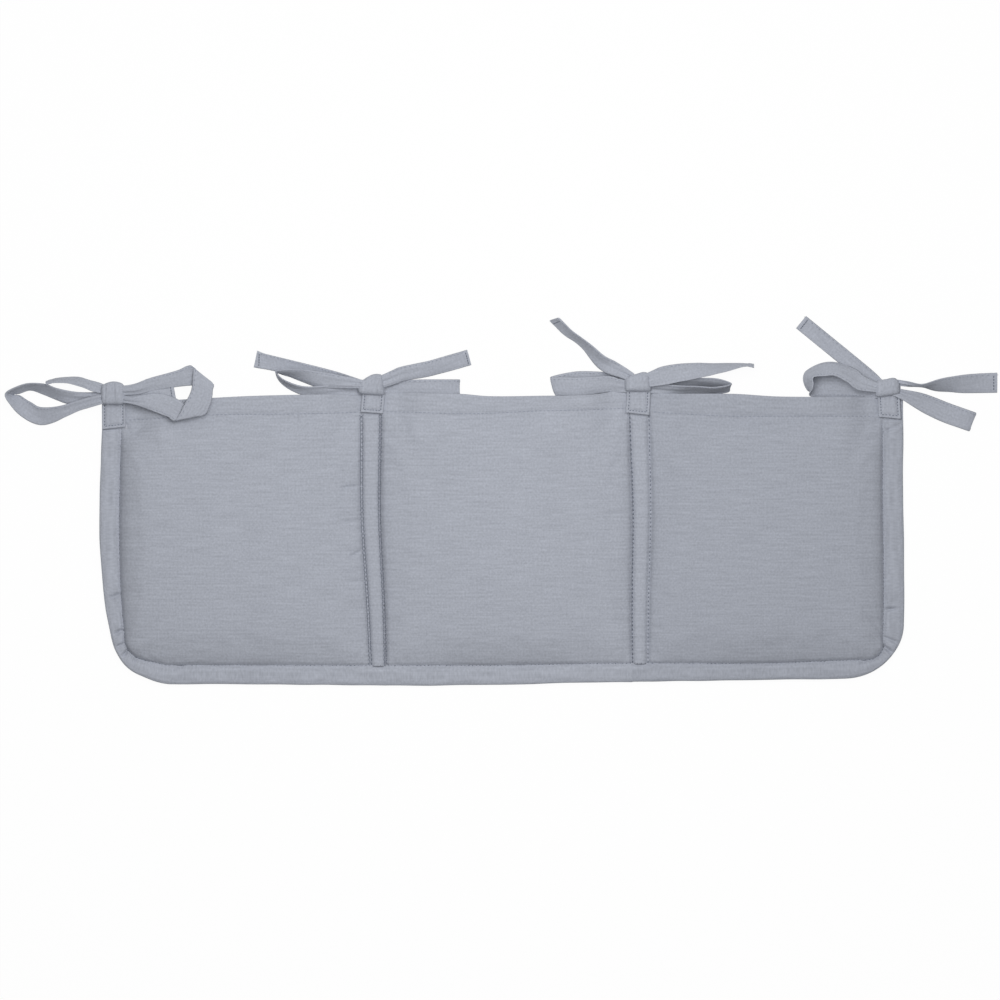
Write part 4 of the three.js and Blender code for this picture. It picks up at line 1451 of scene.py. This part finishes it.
# A strand is its roots in the knot (y, z, width), and its stops (x, y, z, heading, tilt, width).
STRANDS = {
    "tie_1": {
        "left_loop": (
            [(-3.6, 1.0, 7), (-1.4, -1.6, 7)],
            [
                (-18.4, -7, 10.5, 100, 5, 8), (-25.9, -9.3, 9.5, 108, 8, 8),
                (-36.3, -13.2, 7.5, 109, 10, 9.3), (-46.8, -16.3, 4.5, 104, 8, 12.5),
                (-56.1, -16.2, 2.4, 93, 5, 14.3), (-66.2, -10.6, 3.2, 57, -14, 13),
                (-72.8, -4.6, 5.0, 42, -38, 12.5), (-77.0, -0.6, 6.4, -4, -62, 12),
                (-71.4, 2.2, 7.2, -50, -66, 14), (-62, 5.0, 7.4, -74, -66, 14),
                (-51, 3.2, 6.8, -98, -54, 14), (-41.2, -0.6, 6.4, -97, -46, 13),
                (-29.6, -3.3, 6.8, -98, -25, 11), (-18.4, -3, 7.8, -95, -10, 8),
            ],
        ),
        "left_tail": (
            [(2.7, -0.4, 6.5)],
            [
                (-16.9, 6.3, 9.5, -114, 50, 11), (-25.1, 8.8, 9, -105, 58, 13),
                (-33.3, 10, 8.4, -92, 70, 14), (-42.3, 9.4, 8.2, -84, 76, 14),
                (-49.4, 7.5, 8.3, -75, 82, 13),
            ],
        ),
        "right_loop": (
            [(2, 2.2, 7), (-3.4, 0, 7)],
            [
                (17.7, 3.0, -3.2, 110, 14, 8.8), (28.7, 6.4, -2.6, 106, 14, 10.2),
                (39.9, 9.0, -2, 104, 10, 11), (51.9, 11.5, -1.6, 108, 8, 13),
                (59.7, 13.2, -1.4, 120, 4, 16.5), (67.9, 13.5, 0.2, 139.2, 0, 20),
                (67.9, 6.8, 1.8, 147, 0, 17.9), (67.1, -0.3, 2, 159, 0, 16.7),
                (64.2, -7.8, 1.8, 165, 0, 17.8), (57.7, -18.2, 0.3, 189.5, 0, 20.9),
                (49.6, -14.1, -1.2, 202, 0, 17.8), (41.4, -9.3, -2, 225, 0, 16.9),
                (31.7, -6.1, -2.6, 239, 0, 14.5), (22.7, -5.2, -3, 243, 0, 10),
                (13.7, -5, -4, 250, 0, 5.5),
            ],
        ),
        "right_tail": (
            [(-2, -2.4, 8)],
            [
                (20, -2.6, -6.3, 92, 0, 10.5), (29, -2.2, -4.1, 94, 0, 13),
                (39, -1.0, -3.8, 97, 0, 13.5), (47.0, 0.6, -3.8, 100, 0, 13.5),
            ],
        ),
    },
    "tie_2": {
        "left_loop": (
            [(-4.0, -1.8, 7.0), (-0.6, 3.8, 6)],
            [
                (-12.4, -4.7, 5.2, 90, 10, 8.8), (-19.7, -4.6, 5.6, 90, 18, 8.8),
                (-34.7, -5.4, 7.8, 90, 26, 9), (-51.9, -5, 9.2, 83, 44, 9), (-66, 1.3, 9.4, 40, 68, 10),
                (-71.3, 8.4, 9.6, 0, 90, 12), (-66, 8.4, 9.6, -75, 106, 13),
                (-60, 7.8, 9.6, -92, 116, 13), (-50.6, 5.8, 9.6, -100, 136, 13),
                (-40, 3.2, 9.8, -102, 154, 13), (-27.2, 1.6, 10, -100, 166, 11),
            ],
        ),
        "left_tail": (
            [(-0.6, -3.4, 6)],
            [
                (-24, 3.2, 1.4, 102, 0, 11.5), (-47.7, 9, 1.2, 104, 0, 12.5),
                (-70, 14.4, 1.2, 104, 0, 12.5), (-80, 16.8, 1.2, 100, 0, 12.5),
                (-86.6, 18.4, 1.4, 78, 4, 12.8),
            ],
        ),
        "right_loop": (
            [(-2.6, -4.2, 8), (-2.6, -2.4, 8)],
            [
                (14, -3, 2.0, 90, 0, 9), (24, -2.8, 1.6, 90, 0, 11.2), (42, -2.8, 1.2, 90, 0, 12),
                (60, -2.8, 1.2, 90, 0, 12), (66, -2.8, 3, 90, 0, 12), (60, -2.8, 4.8, 90, 0, 12),
                (42, -2.8, 5, 90, 0, 12), (24, -2.8, 4.6, 90, 0, 11.2), (14, -2.8, 4.3, 90, 0, 9),
            ],
        ),
        "right_tail": (
            [(0.6, 2.2, 9)],
            [
                (11.4, 2.6, 9.4, 116, 10, 10), (18.4, 5.4, 8.6, 114, 12, 10.8),
                (23.8, 7.4, 7.8, 110, 14, 11.2), (43.8, 11.4, 4.6, 100, 14, 12),
                (73.1, 19.6, 2.4, 105.5, 8, 12),
            ],
        ),
    },
    "tie_3": {
        "left_loop": (
            [(-3, -3.8, 9), (-3, -0.8, 9)],
            [
                (-13, -0.8, 2.2, 90, 0, 12.5), (-21, 0.2, 1.6, 92, 0, 13.5),
                (-31.8, 0.8, 1.3, 94, 0, 14), (-45, 0.4, 1.2, 98, 0, 15), (-57, -1.6, 1.2, 104, 0, 15),
                (-63.9, -3.5, 3, 106, 0, 14.5), (-57, -3.5, 4.8, 104, 0, 14.5),
                (-42.2, -3.7, 5.2, 92, 3, 14.4), (-22.8, -1.8, 5.8, 90, 16, 12.8),
                (-13, -3.2, 5.8, 90, 12, 10.5),
            ],
        ),
        "left_tail": (
            [(3, 2.2, 7)],
            [
                (-11.5, 6.6, 8.6, 58, 4, 8.5), (-20.5, 10.6, 8.5, 48, 10, 11.5),
                (-28.8, 15.7, 8, 47, 40, 13), (-37.8, 25, 7.5, 47, 58, 13),
                (-45.5, 31.4, 7.3, 45, 62, 13), (-54.2, 37.8, 7.2, 40, 60, 13),
                (-62.9, 46.6, 7, 15, 55, 13),
            ],
        ),
        "right_loop": (
            [(-4, -3.8, 8), (-4, -1, 8)],
            [
                (14, -3.2, 4.2, 88, 20, 9.5), (25, -1.8, 5.4, 88, 46, 11.5),
                (45, -0.4, 6.2, 86, 56, 12.5), (60, -1.4, 6.4, 82, 56, 12.5),
                (68.5, -4.2, 6.4, 72, 60, 12), (60, -6.4, 6.6, 92, 62, 12), (45, -6.6, 6.8, 90, 60, 12),
                (25, -6, 6.6, 90, 48, 11), (14, -5.2, 6.2, 90, 26, 9),
            ],
        ),
        "right_tail": (
            [(0.6, 3.2, 10)],
            [
                (11, 2.4, 11, 98, -4, 12), (18.6, 4.4, 11, 99, -10, 14.3),
                (31, 6.7, 10.6, 99, -20, 14.5), (47.4, 8.7, 9.6, 98, -44, 15),
                (64.6, 10.7, 8.8, 98, -65, 15), (79.6, 12.5, 8.6, 97, -80, 15),
                (85.9, 11.8, 8.6, 95, -82, 14),
            ],
        ),
    },
    "tie_4": {
        "left_loop": (
            [(-1.6, 3.4, 6.5), (-5, -1.4, 8)],
            [
                (-12.5, 0.2, 10.4, -102, 16, 9), (-20.8, 3.0, 10.5, -111, 25, 13),
                (-27.2, 8.1, 10, -125, 38, 15), (-38, 12.6, 9.5, -106.6, 46, 15),
                (-47.7, 12.6, 9, -81.7, 47, 15), (-56.7, 9.8, 8.4, -43, 57, 15),
                (-59.2, 6.3, 8.2, -13, 60, 15), (-58.4, 1.0, 7.6, 8, 64, 15),
                (-57.0, -3.8, 6.0, 40, 90, 15), (-55.8, -1.0, 3.4, 97, 152, 17),
                (-48.0, 0.2, 2.6, 92, 174, 17.2), (-33.5, 0.2, 2.4, 90, 180, 16.8),
                (-21, -2.2, 3.2, 90, 180, 12), (-13, -4.4, 4.2, 90, 180, 9.5),
            ],
        ),
        "left_tail": (
            [(-0.6, -2.4, 9)],
            [
                (-13.6, 6.7, 2.6, 50.8, 0, 11.5), (-31.9, 21.7, 1.4, 50.8, 0, 11.9),
                (-48, 34.8, 1.2, 50.8, 0, 11.9), (-64.2, 48.0, 1.3, 50.8, 3, 11.9),
            ],
        ),
        "right_loop": (
            [(-4, -0.4, 6), (-4, 2, 6)],
            [
                (12.4, -6.4, 7, 73, 0, 7.9), (22.5, -10.1, 4.5, 60, 0, 12), (31, -14, 2.4, 64, 0, 14),
                (44, -19.6, 1.2, 66, 0, 15), (58, -24.6, 1.2, 68, 0, 15), (63.8, -26.6, 3, 68.4, 0, 15),
                (58, -24.6, 4.8, 68, 0, 15), (44, -19.6, 5, 66, 0, 15), (31, -14, 6, 64, 0, 14),
                (22.5, -10.1, 7.5, 60, 0, 12), (12.4, -6.4, 9, 73, 0, 7.9),
            ],
        ),
        "right_tail": (
            [(3, 1.8, 4.5)],
            [
                (13.5, 2, 9.2, 92, 45, 6), (24, 0.7, 8.8, 92, 81, 12), (35.9, 0.7, 7.4, 92, 57, 15),
                (48.6, 1.4, 5.6, 92, 38, 15), (62.8, 2.1, 3.8, 91, 17, 15), (82.3, 2.7, 2.2, 90, 2, 15),
            ],
        ),
    },
}
print("bows:", {tie: list(strands) for tie, strands in STRANDS.items()})

# %% [markdown]
# ## Sweeping a tape
# Along the route a smooth curve carries the place, the direction across and the width. At each step a flat
# section with soft edges is laid across the curve, and a grid is wrapped round all the sections. Near the
# knot the tape is gathered, so it narrows and small pleats run along it. A tail ends in a stitched hem.

# %% Tape routes
ROOT_INSIDE = 4.0


def along_curve(stops, share):
    """All the values of the stops, carried along the smooth curve through them."""
    spans = len(stops) - 1
    k = min(int(share * spans), spans - 1)
    t = share * spans - k
    near = (stops[max(k - 1, 0)], stops[k], stops[k + 1], stops[min(k + 2, spans)])
    values = []
    for a, b, c, d in zip(*near):
        squared = (2 * a - 5 * b + 4 * c - d) * t**2
        cubed = (3 * b - a - 3 * c + d) * t**3
        values.append(0.5 * (2 * b + (c - a) * t + squared + cubed))
    return values


def strand_stops(tie, side, strand):
    """The stops of one loop or tail in the frame, in millimetres, from inside the knot and back to it."""
    x, y, z = KNOTS[tie]["centre"]
    sign = SIGN[side]
    roots, stops = strand
    base = PAD_REST if tie == "tie_1" and sign > 0 else 0.0
    placed = [(x + s[0], y + s[1], base + s[2], *s[3:]) for s in stops]
    ends = []
    for (root_y, root_z, root_width), nearest in zip(roots, (stops[0], stops[-1])):
        root_x = x + sign * (KNOTS[tie]["width"] / 2 - ROOT_INSIDE)
        ends.append((root_x, y + root_y, z + root_z, nearest[3], 180 * round(nearest[4] / 180), root_width))
    return [ends[0], *placed, *ends[1:]]


def tape_frames(stops, steps):
    """Centre, direction along, across and through, width and length so far at each step, in metres."""
    frames = []
    travelled = 0.0
    before = None
    for k in range(steps + 1):
        x, y, z, heading, tilt, width = along_curve(stops, k / steps)
        ahead = along_curve(stops, min((k + 0.5) / steps, 1))
        behind = along_curve(stops, max((k - 0.5) / steps, 0))
        along = (Vector(ahead[:3]) - Vector(behind[:3])).normalized()
        flat = math.cos(math.radians(tilt))
        turned = math.radians(heading)
        across = Vector((flat * math.cos(turned), flat * math.sin(turned), math.sin(math.radians(tilt))))
        centre = Vector((x, y, z)) * MM
        travelled += (centre - before).length if before else 0.0
        before = centre
        frames.append((centre, along, across, along.cross(across).normalized(), width * MM, travelled))
    return frames


print("first stop of tie 2's left tail:", strand_stops("tie_2", "left", STRANDS["tie_2"]["left_tail"])[0])

# %% Tapes
FLAT_WIDTH = 15 * MM
STITCHED_SHARE = 0.7
TAPE_THICKNESS = 1.1 * MM
TAPE_STEPS = 10
TAPE_AROUND = 32
TAPE_WELD = 0.005 * MM
EDGE_CROWD = 0.5
EDGE_POWER = 6
CAMBER = 0.4 * MM
PLEAT_DEPTH = 0.9 * MM
PLEAT_REACH = 45 * MM
PLEAT_TURNS = 6.5
GATHER_WIDTH = 13 * MM
GATHER_START = 1.35
TAPE_WAVE = 0.6 * MM
TAPE_WAVE_RUN = 14 * MM
TAPE_WAVE_ACROSS = 0.8
EDGE_SINK = 0.2 * MM
EDGE_SINK_WIDTH = 0.1
END_HEM = 4.5 * MM
END_ROW = 0.6
HEM_FOLD = 1.6
HEM_FOLD_RUN = 0.8 * MM
TAPE_STITCH = {"length": 1.7 * MM, "radius": 0.28 * MM}
END_STITCH = {"length": 1.9 * MM, "radius": 0.38 * MM}
END_STITCHES = (-0.6, -0.3, 0, 0.3, 0.6)
EDGE_ON = 0.45
TAPE_PITCH = 2.4 * MM
UNSTITCHED = 4
EDGE_STITCH = 0.78


def tape_seed(tie, side, kind):
    """A number that makes the folds of each strand its own."""
    return 3.7 * int(tie[-1]) + len(side + kind)


def tape_section(share):
    """From a share round the tape to its place across, from -1 to 1, and its place through, from -1 to 1."""
    face = 1 if share < 0.5 else -1
    half = share * 2 if face > 0 else share * 2 - 1
    straight = 1 - 2 * half
    out = face * mix(straight, math.cos(math.pi * half), EDGE_CROWD)
    return out, face * math.sqrt(max(1 - abs(out) ** EDGE_POWER, 0.0))


def knot_distance(kind, travelled, length):
    """How far along the tape the knot is. Both ends of a loop go into it, but only one end of a tail."""
    return travelled if kind == "tail" else min(travelled, length - travelled)


def tape_bulge(out, width, travelled, to_knot, seed):
    """How far the cloth stands out of its plane: camber, waves, sewn edges, and pleats near the knot."""
    gathered = clamp(GATHER_START - width / GATHER_WIDTH) * (1 - ease(to_knot / PLEAT_REACH))
    pleat = PLEAT_DEPTH * gathered * math.cos(PLEAT_TURNS * out + seed)
    wave = TAPE_WAVE * noise.noise(Vector((travelled / TAPE_WAVE_RUN, out * TAPE_WAVE_ACROSS, seed)))
    edges = hump(out - EDGE_STITCH, EDGE_SINK_WIDTH) + hump(out + EDGE_STITCH, EDGE_SINK_WIDTH)
    sewn = EDGE_SINK * edges
    return (CAMBER + pleat) * (1 - out * out) + wave - sewn


def stitch_tape(bm, frames, kind, seed):
    """Stitches along one edge of the face that looks up, and across the end hem of a tail."""
    length = frames[-1][5]
    due = TAPE_PITCH * UNSTITCHED
    rows = []
    for k, (_, _, _, through, width, travelled) in enumerate(frames):
        if travelled > due and width > STITCHED_SHARE * FLAT_WIDTH and abs(through.z) > EDGE_ON:
            due = travelled + TAPE_PITCH
            rows.append((k, EDGE_STITCH, False))
    hem_step = min(range(len(frames)), key=lambda k: abs(frames[k][5] - length + END_ROW * END_HEM))
    if kind == "tail" and abs(frames[hem_step][3].z) > EDGE_ON:
        rows += [(hem_step, out, True) for out in END_STITCHES]
    for k, out, crosswise in rows:
        centre, along, across, through, width, travelled = frames[k]
        up = through if through.z > 0 else -through
        thick = TAPE_THICKNESS / 2 * math.sqrt(1 - out**EDGE_POWER) * (HEM_FOLD if crosswise else 1)
        place = centre + across * (out * width / 2) + up * thick
        place += through * tape_bulge(out, width, travelled, knot_distance(kind, travelled, length), seed)
        heading = across.normalized() if crosswise else along
        stitch, material = (END_STITCH, 2) if crosswise else (TAPE_STITCH, 1)
        add_stitch(bm, place, heading, up, material=material, **stitch)


def tape_mesh(frames, kind, seed):
    """A closed strip of tape along the frames, with its stitching."""
    steps = len(frames) - 1
    length = frames[-1][5]
    bm = bmesh.new()
    made = bmesh.ops.create_grid(bm, x_segments=steps, y_segments=TAPE_AROUND, size=0.5)
    flat = {}
    for vert in made["verts"]:
        centre, _, across, through, width, travelled = frames[round((vert.co.x + 0.5) * steps)]
        out, thick = tape_section(vert.co.y + 0.5)
        thick *= TAPE_THICKNESS / 2
        if kind == "tail":
            thick *= mix(1, HEM_FOLD, ease((travelled - length + END_HEM) / HEM_FOLD_RUN))
        thick += tape_bulge(out, width, travelled, knot_distance(kind, travelled, length), seed)
        vert.co = centre + across * (out * width / 2) + through * thick
        flat[vert] = (travelled, out * width / 2)
    map_cloth(bm, flat.get)
    bmesh.ops.remove_doubles(bm, verts=bm.verts[:], dist=TAPE_WELD)
    cap_ends(bm)
    stitch_tape(bm, frames, kind, seed)
    return bm


print("tape lies", round(FLAT_WIDTH / MM), "mm wide and is", round(TAPE_THICKNESS / MM, 1), "mm thick")

# %% Tapes in place
tape_lengths = {}
for tie, strands in STRANDS.items():
    for label, strand in strands.items():
        side, kind = label.split("_")
        stops = strand_stops(tie, side, strand)
        frames = tape_frames(stops, (len(stops) - 1) * TAPE_STEPS)
        length = frames[-1][5]
        bm = tape_mesh(frames, kind, tape_seed(tie, side, kind))
        obj = new_piece(f"{tie}_{label}_tape", bm, tape_cotton, pale_thread, shade_dark_thread)
        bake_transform(obj)
        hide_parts(f"{tie}_{label}")
        tape_lengths[f"{tie}_{label}"] = round(length / MM)
print("tape lengths in millimetres:", tape_lengths)

# %% [markdown]
# ## Knots
# The knot is the tape wrapped once round the strands, so its faces are flat bands that lap over each other.
# A barrel is wrapped from a grid, fitted to the outline that the knot has from above, and each lap is a
# small step in its upper face.

# %% Knots
KNOT_ALONG = 48
KNOT_AROUND = 64
KNOT_SQUARE = 0.66
KNOT_CROWD = 0.6
KNOT_END_POWER = 5
KNOT_END = 0.06
KNOT_ROUND = 7 * MM
KNOT_RIPPLE = 0.25 * MM
KNOT_GRAIN = (0.4, 0.3)
LAP_STEP = 0.7 * MM
LAP_EDGE = 0.7 * MM
LAP_END_POWER = 3


def knot_piece(tie):
    """The knot of one bow, which rides on the section that its tab is sewn to."""
    knot = KNOTS[tie]
    middle = Vector(knot["centre"]) * MM
    outline = smooth_stops(knot["outline"])
    first, last = knot["outline"][0][0], knot["outline"][-1][0]
    bm = bmesh.new()
    made = bmesh.ops.create_grid(bm, x_segments=KNOT_ALONG, y_segments=KNOT_AROUND, size=0.5)
    flat = {}
    for vert in made["verts"]:
        share = vert.co.x + 0.5
        out = mix(2 * share - 1, -math.cos(math.pi * share), KNOT_CROWD)
        x = mix(first, last, (out + 1) / 2)
        low, high = outline(x)
        turn = (vert.co.y + 0.5) * 2 * math.pi
        y = (low + high) / 2 + squared(math.cos(turn), KNOT_SQUARE) * (high - low) / 2
        rise = squared(math.sin(turn), KNOT_SQUARE)
        z = rise * knot["height"] * MM / 2 * math.sqrt(max(1 - abs(out) ** KNOT_END_POWER, KNOT_END))
        for lap_x, lap_y, angle in knot["laps"]:
            lap = math.radians(angle)
            beyond = ((x - lap_x) * math.sin(lap) - (y - lap_y) * math.cos(lap)) * MM
            step = LAP_STEP * (ease(beyond / LAP_EDGE + 0.5) - 0.5) * max(rise, 0)
            z += step * (1 - abs(out) ** LAP_END_POWER)
        grain = Vector((x * KNOT_GRAIN[0], y * KNOT_GRAIN[1], tape_seed(tie, "", "")))
        ripple = KNOT_RIPPLE * noise.noise(grain) * max(rise, 0)
        vert.co = middle + Vector((x * MM, y * MM, z + ripple))
        flat[vert] = (turn * KNOT_ROUND, x * MM)
    map_cloth(bm, flat.get)
    bmesh.ops.remove_doubles(bm, verts=bm.verts[:], dist=TAPE_WELD)
    cap_ends(bm)
    obj = new_piece(f"{tie}_wrapped_knot", bm, tape_cotton)
    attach(obj, SECTION_OF[tie] + "_section")
    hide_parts(f"{tie}_knot")
    return obj


knots = [knot_piece(tie) for tie in KNOTS]
print("knots:", [obj.name for obj in knots])

# %% [markdown]
# ## Tabs
# The middle of each tape is sewn to the top edge, in front and behind. A box of stitches runs just inside
# the tab's rim and pulls the cloth down, so the rim and the middle stand up a little.

# %% Tabs
TAB_FRONT_Z = SEAM_Z + 0.1 * MM
TAB_BACK_Z = 1.3 * MM
TAB_CELL = 0.6 * MM
TAB_INSET = 2.0 * MM
TAB_PITCH = 2.3 * MM
TAB_STITCH = {"length": 1.9 * MM, "radius": 0.42 * MM}
TAB_THICKNESS = 1.9 * MM
TAB_SEAT = 1.2 * MM
TAB_BACK_SHARE = 0.6
TAB_BOX_DEPTH = 0.75 * MM
TAB_BOX_WIDTH = 0.9 * MM
TAB_BOX_TOP = 0.8
TAB_EDGE_DROP = 0.5 * MM
TAB_EDGE_RUN = 0.9 * MM
TAB_FOLD_RISE = 0.6 * MM
TAB_FOLD_UP = 1.6 * MM
TAB_FOLD_RUN = 0.8 * MM
TAB_MIDDLE_RISE = 0.4 * MM
TAB_MIDDLE_RUN = 3 * MM


def tab_point(tab, u, v):
    """The place on a tab at a share across it and a share up it, in metres."""
    slanted = tab["low"] + tab["skew"] * (u - 0.5)
    x = mix(tab["low_x"], tab["top_x"], v) * MM + (u - 0.5) * (tab["width"] * MM)
    return Vector((x, mix(slanted, tab["high"], v) * MM))


def tab_relief(tab, u, v):
    """How high a tab stands over its seat, with the box of stitches pressed in."""
    tall = (tab["high"] - tab["low"]) * MM
    rim = min(min(u, 1 - u) * tab["width"] * MM, v * tall)
    box = TAB_BOX_DEPTH * hump(rim - TAB_INSET, TAB_BOX_WIDTH)
    edge = TAB_EDGE_DROP * (1 - ease(rim / TAB_EDGE_RUN))
    fold = TAB_FOLD_RISE * (1 - ease((v * tall - TAB_FOLD_UP) / TAB_FOLD_RUN))
    middle = TAB_MIDDLE_RISE * ease((rim - TAB_INSET) / TAB_MIDDLE_RUN)
    return TAB_THICKNESS + middle + fold - box - edge


def tab_piece(tie, front):
    """The front or back tab of one tape, with its box of stitches."""
    tab = TABS[tie]
    face = "front" if front else "back"
    width, tall = tab["width"] * MM, (tab["high"] - tab["low"]) * MM
    columns, rows = round(width / TAB_CELL), round(tall / TAB_CELL)
    seat, up = (TAB_FRONT_Z, 1) if front else (TAB_BACK_Z, -TAB_BACK_SHARE)
    bm = bmesh.new()
    made = bmesh.ops.create_grid(bm, x_segments=columns, y_segments=rows, size=0.5)
    for vert in made["verts"]:
        u, v = vert.co.x + 0.5, vert.co.y + 0.5
        vert.co = Vector((*tab_point(tab, u, v), seat + up * tab_relief(tab, u, v)))
    close_panel(bm, lambda x, y, height: seat - up * TAB_SEAT, inside=0)
    map_cloth(bm, lambda vert: (vert.co.y, vert.co.x))
    inset, low = TAB_INSET / width, TAB_INSET / tall
    corners = [(inset, TAB_BOX_TOP), (inset, low), (1 - inset, low), (1 - inset, TAB_BOX_TOP)]
    for (u0, v0), (u1, v1) in zip(corners, corners[1:]):
        near, far = tab_point(tab, u0, v0), tab_point(tab, u1, v1)
        count = round((far - near).length / TAB_PITCH)
        for k in range(count):
            share = (k + 0.5) / count
            u, v = mix(u0, u1, share), mix(v0, v1, share)
            height = seat + up * (tab_relief(tab, u, v) - STITCH_SINK)
            centre = Vector((*tab_point(tab, u, v), height))
            heading = (far - near).normalized().to_3d()
            add_stitch(bm, centre, heading, Vector((0, 0, up)).normalized(), material=1, **TAB_STITCH)
    obj = new_piece(f"{tie}_{face}_tab_tape", bm, tape_cotton, shade_dark_thread)
    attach(obj, SECTION_OF[tie] + "_section")
    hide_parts(f"{tie}_{face}_tab")
    return obj


tabs = [tab_piece(tie, front) for tie in TABS for front in (True, False)]
print("tabs:", len(tabs))
